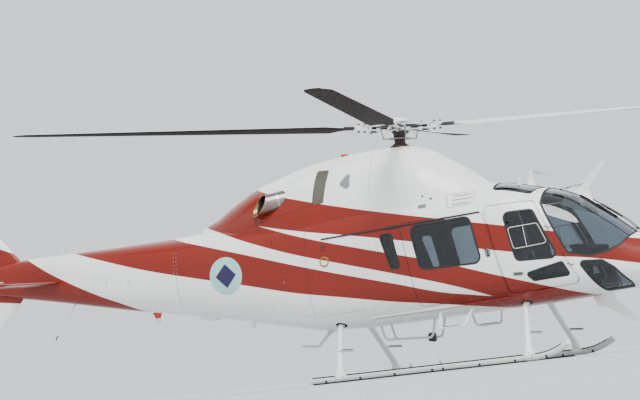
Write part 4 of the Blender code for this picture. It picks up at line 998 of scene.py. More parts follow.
def cross_tubes():
    """Arched cross tubes in the cast saddles that bolt them to the skids, with their foot bars."""
    for tag, (saddle_x, entry_x) in GEAR.items():
        piece("arch_tube_" + tag, WHITE,
              [rod(gear_tube_path(saddle_x, entry_x), GEAR_TUBE_RADIUS, 32, AHEAD)],
              stands_for="cross_tube_" + tag)
        rise = 0.05 if tag == "rear" else 0.0
        bars, bolts, grips = [], [], []
        for side in (1, -1):
            bolts += [hex_head((saddle_x + step, side * SKID_HALF + edge * 0.049, 0.08), (0, edge, 0),
                               0.01, 0.01, 0.001, 0.004) for step in (-0.058, 0.058) for edge in (-1, 1)]
            start = np.array((saddle_x - 0.05, side * 0.9, 0.37 + rise))
            way = np.array((0.22, side * 0.03, -0.02))
            bars.append(rod((start, start + way * 0.98, start + way), (0.015, 0.015, 0.011), 16))
            grips.append(sweep((start + way * 0.22, start + way * 0.95), UP,
                               ring_profile(0.012, 0.0175, 20, 160)))
        piece("gear_saddles_" + tag, WHITE, [saddle(saddle_x, side) for side in (1, -1)])
        piece("gear_bolts_" + tag, STEEL, bolts, slot="gear_metal")
        piece("foot_bars_" + tag, SKID_GREY, bars)
        piece("foot_bar_grips_" + tag, GRIP_TAPE, grips)


# Rotors

ROTOR_PARKED, BLADE_CONE = radians(10.2), radians(1.8)
# Blade sections: place along the blade, chord, thickness, pitch in degrees, sweep of the edge
BLADE = np.array([(0.55, 0.11, 0.056, 0.0, 0.0), (0.72, 0.13, 0.052, 8.0, 0.0),
                  (1.0, 0.335, 0.042, 12.0, 0.0), (5.2, 0.335, 0.034, 2.5, 0.0),
                  (5.415, 0.241, 0.022, 2.0, 0.06)])
SLEEVE_ROWS = (1, 7)
ARM_EDGES = (-0.062, 0.062)
MAST = Matrix.Translation((0, 0, ROTOR_HEIGHT)) @ Matrix.Rotation(np.arctan2(MAST_WAY.x, MAST_WAY.z), 4, 'Y')


def arm_turn(number):
    """Placement of the frame of one rotor arm, its X along the arm."""
    return MAST @ Matrix.Rotation(ROTOR_PARKED + number * pi / 2, 4, 'Z')


def aerofoil_grid(front, back, thick, lift, around=40):
    """Sections of a blade or wing: along the chord by a cosine, thickness by a sine that thins
    towards the back edge. Lift is the way that the thickness points."""
    lift = np.broadcast_to(np.asarray(lift, float), front.shape)
    angle = turns(around)
    share = ((1 - np.cos(angle)) / 2)[None, :, None]
    bulge = (np.sin(angle) * (1 - 0.55 * share[0, :, 0]))[None, :, None]
    chord_line = front[:, None] + (back - front)[:, None] * share
    return chord_line + lift[:, None] * (thick[:, None, None] * bulge / 2)


def main_blades():
    """Composite blades, white above and dark below, each with a black sleeve over its root and
    the bolted plates that hold it. Twist turns every section about the blade's own line."""
    spans = ((0.55, 1.0, 14), (1.1, 5.2, 36), (5.23, 5.415, 8))
    reach = np.concatenate([np.linspace(*span) for span in spans])
    chord, thick, twist, swept = (np.interp(reach, BLADE[:, 0], BLADE[:, k]) for k in (1, 2, 3, 4))
    twist = np.radians(twist)
    line, ahead = xyz(reach, 0, 0), xyz(0, np.cos(twist), np.sin(twist))
    above = xyz(0, -np.sin(twist), np.cos(twist))
    front = line + ahead * (0.3 * chord - swept)[:, None]
    back = line - ahead * (0.7 * chord + swept * 0.4)[:, None]
    skin = aerofoil_grid(front, back, thick, above)
    root, wider = slice(*SLEEVE_ROWS), np.array((0, 0.006, 0))
    sleeve = aerofoil_grid(front[root] + wider, back[root] - wider, thick[root] + 0.012, above[root])
    bolts = [hex_head((x, 0, way * 0.04), (0, 0, way), 0.017, 0.022, 0.003, 0.008, 0.01)
             for x in (0.475, 0.555) for way in (1, -1)]
    for k in range(4):
        place, number = arm_turn(k) @ Matrix.Rotation(-BLADE_CONE, 4, 'Y'), "%d" % (k + 1)
        blade = piece("blade_skin_" + number, BLADE_FOOT, [placed(loft(skin), place)], "main_rotor",
                      "main_blade_" + number, sharp=60)
        paint_blade(blade, np.array(place.to_3x3() @ Vector(UP)))
        piece("blade_sleeve_" + number, RUBBER, [placed(loft(sleeve), place)], "main_rotor", sharp=60)
        piece("blade_cuff_" + number, HUB_PAINT, [placed(shape, place) for shape in blade_root()],
              "main_rotor", bevel=0.003)
        piece("blade_bolts_" + number, DARK_METAL, [placed(bolt, place) for bolt in bolts], "main_rotor")


def paint_blade(blade, up):
    """Faces that look up get the white enamel."""
    mesh = blade.data
    mesh.materials.append(BLADE_TOP)
    above = field(mesh.polygons, "normal") @ up > 0.02
    mesh.polygons.foreach_set("material_index", above.astype(np.int32))


def stadium(x0, x1, half0, half1, steps=12):
    """Outline with a half circle at each end, its two ends of different widths."""
    angle = np.linspace(-pi / 2, pi / 2, steps)
    right = np.stack([x1 + half1 * np.cos(angle), half1 * np.sin(angle)], -1)
    left = np.stack([x0 - half0 * np.cos(angle), -half0 * np.sin(angle)], -1)
    return np.vstack([right, left])


def ring_plate(outer, inner, low, high):
    """Flat plate with a hole: a loop of four-cornered sections between two outlines."""
    rings = [xyz(*line.T, z) for line, z in ((outer, low), (outer, high), (inner, high), (inner, low))]
    return torus_like(np.stack(rings, axis=1))


def blade_root():
    """Two looped tension plates and the cheeks between them, along the arm's X."""
    outer, inner = stadium(0.22, 0.53, 0.075, 0.052), stadium(0.27, 0.42, 0.04, 0.026)
    return [ring_plate(outer, inner, 0.026, 0.04), ring_plate(outer, inner, -0.04, -0.026),
            prism(stadium(0.455, 0.575, 0.046, 0.05), -0.026, 0.026, 'Z')]


def on_arms(make):
    """Shapes drawn for one rotor arm, placed on all four."""
    return [placed(shape, arm_turn(k)) for k in range(4) for shape in make()]


def arm_bearings():
    """Ribbed elastomeric stack in the hub, the round pad between the plates, and two stops."""
    stack = [(TIP, 0.0)]
    for foot in np.arange(6) * 0.012:
        stack += [(0.024, foot), (0.027, foot + 0.003), (0.024, foot + 0.009)]
    stack += [(TIP, 0.072)]
    pad = ((TIP, -0.0255), (0.034, -0.0255), (0.037, -0.012), (0.031, 0.0), (0.037, 0.012), (0.034, 0.0255),
           (TIP, 0.0255))
    return [lathe(stack, (0.175, 0, 0), AHEAD, 28), lathe(pad, (0.345, 0, 0), sides=32),
            *(block((0.31, y - 0.009, -0.052), (0.38, y + 0.009, -0.036)) for y in ARM_EDGES)]


def arm_dampers():
    """Lead-lag damper from one arm to the next: a barrel on a thinner rod."""
    start, end = np.array((0.3, 0.045, 0.012)), np.array((0.045, 0.3, 0.012))
    share = np.array((0.0, 0.04, 0.3, 0.31, 0.69, 0.7, 0.96, 1.0))[:, None]
    return [rod(start + (end - start) * share, (0.008, 0.01, 0.01, 0.019, 0.019, 0.01, 0.01, 0.008), 20)]


def arm_links():
    """Pitch link up from the swashplate, and the blade's pitch horn that it moves."""
    link = ((0.2, 0.115, -0.158), (0.206, 0.115, -0.135), (0.234, 0.115, -0.03), (0.24, 0.115, 0.0))
    horn = ((0.24, 0.13, 0.0), (0.24, 0.06, 0.0), (0.245, 0.0, 0.0))
    return [rod(link, (0.013, 0.008, 0.008, 0.013), 14, ACROSS), rod(horn, (0.012, 0.015, 0.022), 14)]


def arm_bolts():
    """Bolt heads above and below an arm and the hub."""
    bolts = []
    for y in ARM_EDGES:
        bolts += [hex_head((0.3, y * 0.9, 0.04), UP, 0.014, 0.03, 0.002, 0.008),
                  hex_head((0.39, y * 0.6, -0.04), DOWN, 0.016, 0.036, 0.003, 0.01)]
    return bolts + [hex_head((0.1, 0.0, way * 0.044), (0, 0, way), 0.012, 0.012, 0.001, 0.004, 0.006)
                    for way in (1, -1)]


def swashplate_arms():
    """Flat arm of the swashplate that carries one pitch link."""
    return [plate(((0.12, 0.06), (0.215, 0.1), (0.215, 0.13), (0.1, 0.1)), 0.01, -0.162, -0.146, 3, 'Z')]


def main_hub():
    """White capped hub: star plate, skirt, and what each arm carries, over the turning swashplate."""
    cap = ((TIP, 0.14), (0.03, 0.139), (0.075, 0.132), (0.115, 0.112), (0.136, 0.088), (0.138, 0.078),
           (0.12, 0.074), (0.06, 0.07))
    star = ((0.055, 0.08), (0.06, 0.045), (0.15, 0.04), (0.166, 0.028), (0.166, -0.028), (0.15, -0.042),
            (0.09, -0.048), (TIP, -0.05))
    skirt = ((0.088, -0.046), (0.112, -0.052), (0.104, -0.07), (0.086, -0.092), (0.082, -0.118),
             (TIP, -0.1195))
    piece("rotor_skirt", BOOT, [placed(lathe(skirt, sides=56), MAST)], "main_rotor", bevel=0.002)
    piece("rotor_cap", HUB_PAINT, [placed(lathe(cap, sides=56), MAST)], "main_rotor", "main_rotor_hub",
          sharp=50)
    piece("rotor_star", HUB_PAINT, [placed(lathe(star, sides=56), MAST)], "main_rotor", bevel=0.002)
    for name, material, make in (("rotor_bearings", RUBBER, arm_bearings),
                                 ("lead_lag_dampers", DARK_METAL, arm_dampers),
                                 ("pitch_links", FITTING, arm_links), ("rotor_bolts", STEEL, arm_bolts)):
        piece(name, material, on_arms(make), "main_rotor")
    ring = ((0.084, -0.16), (0.15, -0.162), (0.162, -0.156), (0.162, -0.146), (0.14, -0.14), (0.084, -0.14))
    ring = placed(turned_ring(ring, (0, 0, 0), UP, 56), MAST)
    piece("swashplate", FITTING, [ring] + on_arms(swashplate_arms), "main_rotor")


def mast_gaiter():
    """Brown rubberised boot round the fixed guide, its folds a cosine of the height, and its collar."""
    height = np.linspace(-0.5, -0.122, 60)
    radius = 0.074 + 0.0035 * np.cos(height * 2 * pi / 0.032)
    profile = np.vstack([(TIP, -0.5), np.stack([radius, height], -1), (TIP, -0.122)])
    piece("mast_gaiter", BOOT, [placed(lathe(profile, sides=48), MAST)], stands_for="mast_boot")
    collar = ((0.079, -0.275), (0.132, -0.262), (0.134, -0.252), (0.104, -0.236), (0.084, -0.215),
              (0.079, -0.215))
    piece("gaiter_collar", BOOT, [placed(turned_ring(collar, (0, 0, 0), UP, 48), MAST)])


# Tail

UPPER_FIN = np.array(((2.0, -5.7, -6.5, 0.15), (2.42, -6.05, -6.8, 0.14), (3.42, -6.88, -7.33, 0.08),
                      (3.47, -6.935, -7.322, 0.06), (3.495, -6.975, -7.312, 0.03)))
LOWER_FIN = np.array(((0.875, -6.7, -6.97, 0.03), (0.9, -6.66, -6.975, 0.06), (0.93, -6.62, -6.98, 0.07),
                      (1.52, -6.02, -6.62, 0.11), (1.85, -5.72, -6.5, 0.12)))
STABILISER = np.array(((0.05, -5.15, -5.77, 0.075), (1.41, -5.36, -5.78, 0.055), (1.43, -5.38, -5.775, 0.04),
                       (1.438, -5.41, -5.765, 0.02)))
STABILISER_HEIGHT = 1.82


def wing_rows(table, places):
    """Front, back and thickness of a wing between its stations, straight from one to the next."""
    return [np.interp(places, table[:, 0], table[:, k]) for k in (1, 2, 3)]


def fins():
    """Swept fins and stabiliser halves, each a stack of aerofoil sections."""
    for name, table in (("upper_fin", UPPER_FIN), ("lower_fin", LOWER_FIN)):
        z = np.unique(np.concatenate([np.linspace(table[0, 0], table[-1, 0], 40), table[:, 0]]))
        front, back, thick = wing_rows(table, z)
        grid = aerofoil_grid(xyz(front, 0, z), xyz(back, 0, z), thick, ACROSS)
        piece(name + "_skin", LIVERY, [loft(grid)], stands_for=name, sharp=60)
    y = np.unique(np.concatenate([np.linspace(0.05, 1.41, 24), STABILISER[:, 0]]))
    front, back, thick = wing_rows(STABILISER, y)
    for side, tag in SIDES:
        grid = aerofoil_grid(xyz(front, side * y, STABILISER_HEIGHT), xyz(back, side * y, STABILISER_HEIGHT),
                             thick, UP)
        piece("stabiliser_skin_" + tag, LIVERY, [loft(grid)], stands_for="stabiliser_" + tag, sharp=60,
              slot="white_paint")


TAIL_HUB = np.array((-6.625, 0.42, 2.45))
TAIL_BLADE = np.array(((0.19, 0.09, 0.035), (0.26, 0.1, 0.03), (0.36, 0.2, 0.024), (0.955, 0.2, 0.018),
                       (0.965, 0.17, 0.01)))


def tail_rotor():
    """Two-blade tail rotor: hub, yoke plates, pitch links on a crosshead, and tapered blades."""
    body, boss = "tail_rotor", TAIL_HUB
    barrel = ((TIP, 0.05), (0.03, 0.048), (0.052, 0.04), (0.054, 0.02), (0.04, -0.02), (0.054, -0.06),
              (0.054, -0.098), (TIP, -0.0995))
    piece("tail_hub_barrel", FITTING, [lathe(barrel, boss, ACROSS, 36)], body, "tail_rotor_hub", bevel=0.001)
    yoke = prism(stadium(-0.16, 0.16, 0.034, 0.034), -0.022, 0.022, 'Z')
    upright = Matrix(((0, 1, 0, boss[0]), (0, 0, 1, boss[1]), (1, 0, 0, boss[2]), (0, 0, 0, 1)))
    piece("tail_yoke", FITTING, [placed(yoke, upright)], body, bevel=0.003)
    reach = np.unique(np.concatenate([np.linspace(0.1905, 0.965, 40), TAIL_BLADE[1:, 0]]))
    chord, thick = (np.interp(reach, TAIL_BLADE[:, 0], TAIL_BLADE[:, k]) for k in (1, 2))
    links = []
    for sign, number in ((1, "1"), (-1, "2")):
        start, end = boss + (sign * 0.052, 0.06, sign * 0.04), boss + (sign * 0.06, 0.006, sign * 0.22)
        links += [rod((start, end), 0.007, 12), rod((boss + (0, 0.052, 0), start), 0.009, 12)]
        front, back = (xyz(sign * share * chord, 0, sign * reach) + boss for share in (-0.3, 0.7))
        grid = aerofoil_grid(front, back, thick, ACROSS, 32)
        piece("tail_blade_skin_" + number, BLADE_TOP, [loft(grid)], body, "tail_blade_" + number, sharp=60)
    piece("tail_pitch_links", STEEL, links, body)
    casing = ((TIP, 0.321), (0.06, 0.3205), (0.075, 0.31), (0.078, 0.27), (0.098, 0.24), (0.1, 0.02),
              (0.09, 0.0), (TIP, -0.001))
    piece("tail_gear_casing", CAST, [lathe(casing, (boss[0], 0, boss[2]), ACROSS, 40)],
          stands_for="tail_gearbox", bevel=0.002)


# Small gear below and above

CUTTERS = {
    "upper": ((2.1, 2.0), (2.6, 1.8), (2.52, 2.16), (2.6, 2.27), (2.8, 2.48), (2.74, 2.5), (2.44, 2.26),
              (2.3, 2.22)),
    "lower": ((2.36, 0.85), (2.46, 0.62), (2.62, 0.57), (2.94, 0.36), (2.99, 0.4), (2.72, 0.66),
              (2.66, 0.85)),
}


def boarding_steps():
    """Bent step tubes on round feet, with a gritted tread."""
    foot = ((TIP, 0.006), (0.03, 0.005), (0.032, 0.0), (0.032, -0.004))
    for side, tag in SIDES:
        root, y = side * 0.6, side * 0.78
        path = eased_path(((0.5, root, 0.8), (0.51, y, 0.56), (0.86, y, 0.56), (0.95, root, 0.8)), 0.05)
        piece("step_tube_" + tag, WHITE, [rod(path, 0.016, 20)], stands_for="boarding_step_" + tag)
        feet = [lathe(foot, (x, side * 0.655, 0.735), (0, side * 0.55, -0.8), 24) for x in (0.502, 0.935)]
        piece("step_feet_" + tag, WHITE, feet)
        tread = sweep(((0.57, y, 0.56), (0.81, y, 0.56)), UP, ring_profile(0.014, 0.018, 30, 150))
        piece("step_tread_" + tag, GRIP_TAPE, [tread])


def hook_frame():
    """Cargo hook's frame: two bent tubes, their braces and rungs, and the hook between them."""
    tubes = []
    for side in (1, -1):
        loop = np.array(((-0.52, -0.2, 0.76), (-0.46, -0.2, 0.5), (0.2, -0.2, 0.46), (0.28, -0.2, 0.76)))
        tubes.append(rod(eased_path(loop * (1, side, 1), 0.06), 0.0148, 18, ACROSS))
        for brace in (((-0.44, 0.2, 0.497), (0.02, 0.05, 0.475)), ((0.19, 0.2, 0.466), (0.13, 0.05, 0.468))):
            tubes.append(rod(np.array(brace) * (1, side, 1), 0.01, 14))
    tubes += [rod(((x, -0.2, z), (x, 0.2, z)), 0.013, 18) for x, z in ((-0.3, 0.4916), (0.13, 0.4656))]
    piece("hook_frame_tubes", SKID_GREY, tubes, stands_for="cargo_hook_frame")
    body = ((0.08, 0.42), (0.15, 0.4), (0.18, 0.42), (0.18, 0.5), (0.16, 0.53), (0.1, 0.53), (0.08, 0.5))
    piece("hook_body", DARK_METAL, [plate(body, 0.012, -0.035, 0.035, 5)], bevel=0.003)


def wire_cutters():
    """Flat cutter blades above the windshield and under the nose, with the upper one's braces."""
    for name, outline in CUTTERS.items():
        piece("cutter_%s_blade" % name, WHITE, [plate(outline, 0.015, -0.012, 0.012, 5)],
              stands_for="wire_cutter_" + name, bevel=0.004, slot="dark_trim")
    piece("cutter_braces", FITTING,
          [rod(((2.48, 0.0, 2.24), (2.14, side * 0.1, 2.196)), 0.007, 12) for side in (1, -1)])


# Fittings on the hull and the cowl

def body_half(x, z):
    """Half width of whichever stands further out, the hull or the cowl."""
    return np.maximum(hull_half(x, z), np.where(np.asarray(z) > 2.2, cowl_half(x, z), 0))


def hull_place(x, y, above=True):
    """Point and outward normal on the hull's roof or belly at a place seen from above."""
    roof, belly, half, widest, power = smooth_rows(HULL, x)
    reach = (roof if above else belly) - widest
    z = widest + reach * (1 - min(abs(y) / half, 1) ** power) ** (1 / power)
    point = np.array((x, y, float(z)))
    return point, level_normals(point[None], hull_level)[0]


def skin_patch(outline, side, high, half=body_half):
    """Low plate on a skin: rings of its outline that shrink to the middle, each laid on the skin."""
    outline = np.asarray(outline, float)
    middle = outline.mean(0)
    rings = []
    for share, height in ((0.02, high), (0.35, high), (0.7, high), (0.96, high), (1.0, high - 0.0008),
                          (1.0, high - 0.006), (0.6, high - 0.006), (0.02, high - 0.006)):
        at = middle + (outline - middle) * share
        points, normal = skin_frame(half, at[:, 0], at[:, 1], side)
        rings.append(points + normal * height)
    return loft(np.stack(rings))


def circle(x, z, radius, steps=40):
    """Round outline in the side view."""
    angle = turns(steps)
    return np.stack([x + radius * np.cos(angle), z + radius * np.sin(angle)], -1)


def rounded(corners, radius, spacing=0.02):
    """Outline with rounded corners and points close enough to follow a curved skin."""
    outline = corner_arcs(corners, radius, 4)
    return evenly(np.vstack([outline, outline[:1]]), spacing)[:-1]


def stud(x, z, side, radius, high, half=body_half, sides=16):
    """Low domed button on a skin."""
    point, normal = skin_frame(half, x, z, side)
    profile = ((TIP, high), (radius * 0.55, high * 0.9), (radius * 0.9, high * 0.5), (radius, -0.002))
    return lathe(profile, point, normal, sides)


def tail_discs():
    """A plain round disc with a plain diamond on it, each a thin plate that follows the boom's skin."""
    x, z = DISC_PLACE
    half = 0.165
    diamond = rounded(((x + half, z), (x, z + half), (x - half, z), (x, z - half)), 0.004)
    for side, tag in SIDES:
        piece("marking_disc_" + tag, AQUA, [skin_patch(circle(x, z, DISC_RADIUS, 72), side, 0.0016)])
        piece("marking_diamond_" + tag, NAVY, [skin_patch(diamond, side, 0.0028)])


UPPER_RAIL = ((-1.0, 1.912), (-0.45, 1.93), (0.1, 1.952), (0.7, 1.976), (1.235, 1.998))
RAIL_STOP = ((-0.06, 1.944), (0.09, 1.95))
LOWER_RAIL = ((-0.45, 0.806), (0.2, 0.822), (0.84, 0.838), (1.49, 0.858))
CREW_HINGE = np.array(((2.461, 0.75865, 0.9702), (1.999, 0.7931, 1.953)))
BAGGAGE_HINGE = np.array((-1.3845, 0.78468, 1.28))
HINGE_LEAF, HINGE_REACH, HINGE_KNUCKLE = 0.018, 0.041, (0.0005, 0.0225)


def outline_strip(outline, side, width, high):
    """Strip along a closed outline that has its corners already."""
    return skin_strip(outline, side, width, high, closed=True, smooth=False)


def sliding_door_fittings(side, tag):
    """Rails above and below the sliding door, a painted shadow under the lower rail, its seam, and its handle
    on a plate.
    """
    piece("upper_rail_" + tag, BLACK_PAINT,
          [skin_strip(UPPER_RAIL, side, 0.022, 0.012), skin_strip(RAIL_STOP, side, 0.034, 0.019)],
          bevel=0.0015)
    piece("lower_rail_" + tag, LIVERY,
          [skin_strip(LOWER_RAIL, side, 0.034, 0.022), stud(*LOWER_RAIL[0], side, 0.017, 0.022, hull_half)],
          bevel=0.002)
    # Dark rubber strip just under the lower rail: a painted shadow of the rail.
    slot = [(x, z - 0.021) for x, z in LOWER_RAIL]
    piece("lower_rail_painted_shadow_" + tag, RUBBER, [skin_strip(slot, side, 0.012, 0.006)])
    seam = rounded(grown(CABIN_DOOR, -0.007), 0.063, 0.03)
    piece("cabin_door_seam_" + tag, RUBBER, [outline_strip(seam, side, 0.005, 0.0012)])
    back = rounded(((1.27, 1.4), (1.34, 1.4), (1.33, 1.51), (1.26, 1.51)), 0.02)
    piece("cabin_handle_plate_" + tag, FITTING, [skin_patch(back, side, 0.002)])
    lever = ((1.305, 1.42), (1.3, 1.49), (1.26, 1.505))
    piece("cabin_handle_" + tag, DARK_METAL,
          [skin_strip(lever, side, 0.014, 0.013, spacing=0.01), stud(*lever[0], side, 0.014, 0.015)],
          bevel=0.002)


def crew_door_fittings(side, tag):
    """Crew door's handle on its plate and the frame of the small sliding pane in its window."""
    door = "crew_door_" + tag
    back = rounded(((1.6, 1.12), (1.74, 1.11), (1.75, 1.16), (1.61, 1.17)), 0.02)
    piece("crew_handle_plate_" + tag, FITTING, [skin_patch(back, side, 0.002)], door)
    grip = ((1.625, 1.142), (1.72, 1.137))
    piece("crew_handle_" + tag, DARK_METAL, [skin_strip(grip, side, 0.016, 0.01, spacing=0.01)], door,
          bevel=0.003)
    pane = rounded(((1.595, 1.745), (1.655, 1.465), (2.1, 1.495), (1.985, 1.765)), 0.03, 0.015)
    frame_bar = skin_strip(((1.8, 1.745), (1.83, 1.485)), side, 0.007, 0.0022)
    piece("sliding_pane_frame_" + tag, SKID_GREY, [outline_strip(pane, side, 0.009, 0.0022), frame_bar], door,
          slot="machined_metal")


def hinge_strap(x, z, reach, side):
    """Hinge's flat leaf on the skin, from just past the pin to its reach."""
    near, far, half = x - reach * 0.05, x + reach, HINGE_LEAF / 2
    corners = ((far, z - half), (far, z + half), (near, z + half), (near, z - half))
    return skin_patch(rounded(corners, 0.004, 0.008), side, 0.004)


def hinge(names, door, middle, along, side, up):
    """Two knuckles that meet on a pin, one on the airframe and one on the door, each with a strap."""
    for sign, body, name in zip((-1, 1), ("airframe", door), names):
        ends = [middle + along * sign * reach for reach in HINGE_KNUCKLE]
        spot = middle + along * sign * 0.0115
        piece(name, FITTING,
              [rod(ends, 0.0078, 16, up), hinge_strap(spot[0], spot[2], -sign * HINGE_REACH, side)], body)


def door_fittings():
    """Sliding doors' rails and handles; crew doors' hinges, handles and panes; the baggage door's."""
    pin = CREW_HINGE[1] - CREW_HINGE[0]
    for side, tag in SIDES:
        sliding_door_fittings(side, tag)
        crew_door_fittings(side, tag)
        flip = np.array((1, side, 1))
        for share, number in ((0.22, "low"), (0.74, "high")):
            names = ["hinge_%s_%s_%s" % (part, number, tag) for part in ("shell", "leaf")]
            hinge(names, "crew_door_" + tag, (CREW_HINGE[0] + pin * share) * flip,
                  unit(pin) * flip, side, UP)
    for share, number in ((0.15, "low"), (0.8, "high")):
        names = ["baggage_hinge_%s_%s" % (part, number) for part in ("shell", "leaf")]
        hinge(names, "baggage_door", BAGGAGE_HINGE + (0, 0, 0.5 * share), np.array(UP), 1, AHEAD)
    latch = skin_strip(((-1.88, 1.5), (-1.88, 1.6)), 1, 0.022, 0.006, spacing=0.02)
    piece("baggage_latch", DARK_METAL, [latch], "baggage_door", bevel=0.002)


STEP_TREADS = (((0.85, 2.255), (1.1, 2.255)), ((0.85, 2.2), (1.12, 2.205)), ((0.86, 2.145), (1.08, 2.15)))
# Rows of rivets: first, last and how many
RIVET_ROWS = (((-1.2, 0.875), (-0.2, 0.84), 24), ((-1.2, 0.93), (-0.55, 0.915), 16),
              ((-3.2, 1.42), (-1.32, 1.0), 34), ((-3.28, 2.0), (-3.28, 1.3), 14),
              ((-3.32, 2.0), (-3.32, 1.3), 14))
# Ports: place, radius, height
STATIC_PORTS = ((2.98, 1.31, 0.013, 0.006), (3.045, 1.31, 0.013, 0.006), (2.6, 0.96, 0.012, 0.003))
BOOM_BUTTONS = ((-4.42, 1.73), (-4.07, 1.71), (-1.61, 1.41))


def panel_joints(side):
    """Thin sealed joints where the hull's and the cowls' panels meet."""
    return [skin_strip([(CABIN_BACK, z) for z in np.linspace(0.8, 2.3, 40)], side, 0.004, 0.0008),
            skin_strip([(REAR_END, z) for z in np.linspace(1.2, 2.17, 24)], side, 0.004, 0.0008),
            skin_strip(((-2.35, 2.17), (-1.95, 2.24), (-1.71, 2.29), (-1.13, 2.395)), side, 0.004, 0.0012,
                       body_half),
            skin_strip([(COWL_SPLIT, z) for z in np.linspace(2.42, 2.98, 24)], side, 0.004, 0.0008,
                       cowl_half),
            skin_strip(((-0.5, 0.93), (-0.9, 0.9), (-1.2, 0.9)), side, 0.003, 0.0008)]


def seams_and_rivets():
    """Panel joints, the framed step with its treads, rows of small domed rivets, and buttons."""
    for side, tag in SIDES:
        piece("panel_joints_" + tag, RUBBER, panel_joints(side))
        frame_line = rounded(((0.755, 2.285), (0.8, 2.11), (1.13, 2.125), (1.165, 2.285)), 0.02)
        treads = [skin_strip(ends, side, 0.01, 0.004) for ends in STEP_TREADS]
        piece("cowl_step_" + tag, DARK_METAL, [outline_strip(frame_line, side, 0.006, 0.0015)] + treads)
        rivets = [stud(x, z, side, 0.0045, 0.0012, hull_half, 6)
                  for start, end, count in RIVET_ROWS for x, z in np.linspace(start, end, count)]
        piece("belly_rivets_" + tag, SKID_GREY, rivets, slot="white_paint")
        buttons = BOOM_BUTTONS if side < 0 else BOOM_BUTTONS[:2]
        piece("boom_buttons_" + tag, FITTING, [stud(x, z, side, 0.012, 0.006) for x, z in buttons])
        ports = [stud(x, z, side, radius, high) for x, z, radius, high in STATIC_PORTS]
        piece("static_ports_" + tag, DARK_METAL, ports)


# Single slots: ends, width, height
SINGLE_SLOTS = ((((-0.45, 2.64), (-0.48, 2.5)), 0.012, 0.002),
                (((-0.325, 2.62), (-0.325, 2.54)), 0.022, 0.003),
                (((-0.7, 2.21), (-0.69, 2.1)), 0.012, 0.002), (((-1.76, 2.03), (-1.75, 1.93)), 0.01, 0.002))


def cowl_slots(side):
    """Louvre slots, drain slots and vents as dark strips on the cowls and the rear fuselage, and
    a catch with its two round ends."""
    slots = [skin_strip(((-0.7 + 0.02 * k, 2.6 + 0.026 * k), (-0.59, 2.58 + 0.028 * k)), side, 0.007, 0.005)
             for k in range(5)]
    slots += [skin_strip(ends, side, width, high) for ends, width, high in SINGLE_SLOTS]
    for k in range(4):
        slots.append(skin_strip(((-1.1, 2.265 - 0.026 * k), (-1.0, 2.262 - 0.026 * k)), side, 0.014, 0.004))
        slots.append(skin_strip(((-1.02, 1.83 - 0.025 * k), (-0.95, 1.83 - 0.025 * k)), side, 0.008, 0.002))
    hook = ((0.44, 2.3), (0.455, 2.255), (0.5, 2.245), (0.535, 2.27))
    return slots + [skin_strip(hook, side, 0.014, 0.006, spacing=0.01), stud(0.44, 2.31, side, 0.014, 0.006),
                    stud(0.55, 2.265, side, 0.016, 0.006)]


def cowl_fittings():
    """Intake screens, vents, slots and pads on the cowls, and the filler cap in its ring."""
    louvre = rounded(((-0.735, 2.62), (-0.63, 2.54), (-0.57, 2.57), (-0.575, 2.73), (-0.62, 2.745))[::-1],
                     0.015)
    pad = rounded(((0.38, 2.2), (0.38, 2.145), (0.5, 2.15), (0.5, 2.2)), 0.015)
    for side, tag in SIDES:
        piece("intake_screen_" + tag, SCREEN, [skin_patch(rounded(INTAKE, 0.03), side, -0.005)])
        piece("intake_lip_" + tag, WHITE,
              [outline_strip(rounded(grown(INTAKE, 0.006), 0.036), side, 0.012, 0.003)])
        piece("cowl_vent_" + tag, FITTING, [skin_patch(louvre, side, 0.003)])
        piece("cowl_slots_" + tag, DARK_METAL, cowl_slots(side))
        piece("cowl_pad_" + tag, FITTING, [skin_patch(pad, side, 0.002)])
    point, normal = skin_frame(hull_half, -0.98, 1.61, -1)
    ring = ((TIP, 0.0005), (0.05, 0.001), (0.052, 0.006), (0.066, 0.006), (0.07, 0.001), (0.07, -0.003))
    piece("filler_ring", TAN, [lathe(ring, point, normal, 48)], sharp=25)
    cap = ((TIP, 0.009), (0.012, 0.009), (0.014, 0.005), (0.04, 0.005), (0.049, 0.002), (0.049, -0.002))
    piece("filler_cap", LIVERY, [lathe(cap, point, normal, 48)], sharp=25)


# Rings of the pipe's wall and of its bore: radius and share of the way to the mouth
PIPE_RINGS = ([(0.1335, share) for share in (0.02, 0.2, 0.4, 0.6, 0.8, 0.93)]
              + [(0.1345, 0.97), (0.1348, 0.995), (0.132, 1.0), (0.1285, 0.995), (0.127, 0.98), (0.127, 0.85),
                 (0.127, 0.5), (0.127, 0.06)])
BORE_RINGS = ((0.1272, 0.9), (0.1262, 0.9), (0.1262, 0.5), (0.1262, 0.25), (0.002, 0.25), (0.002, 0.1),
              (0.1272, 0.1), (0.1272, 0.5))


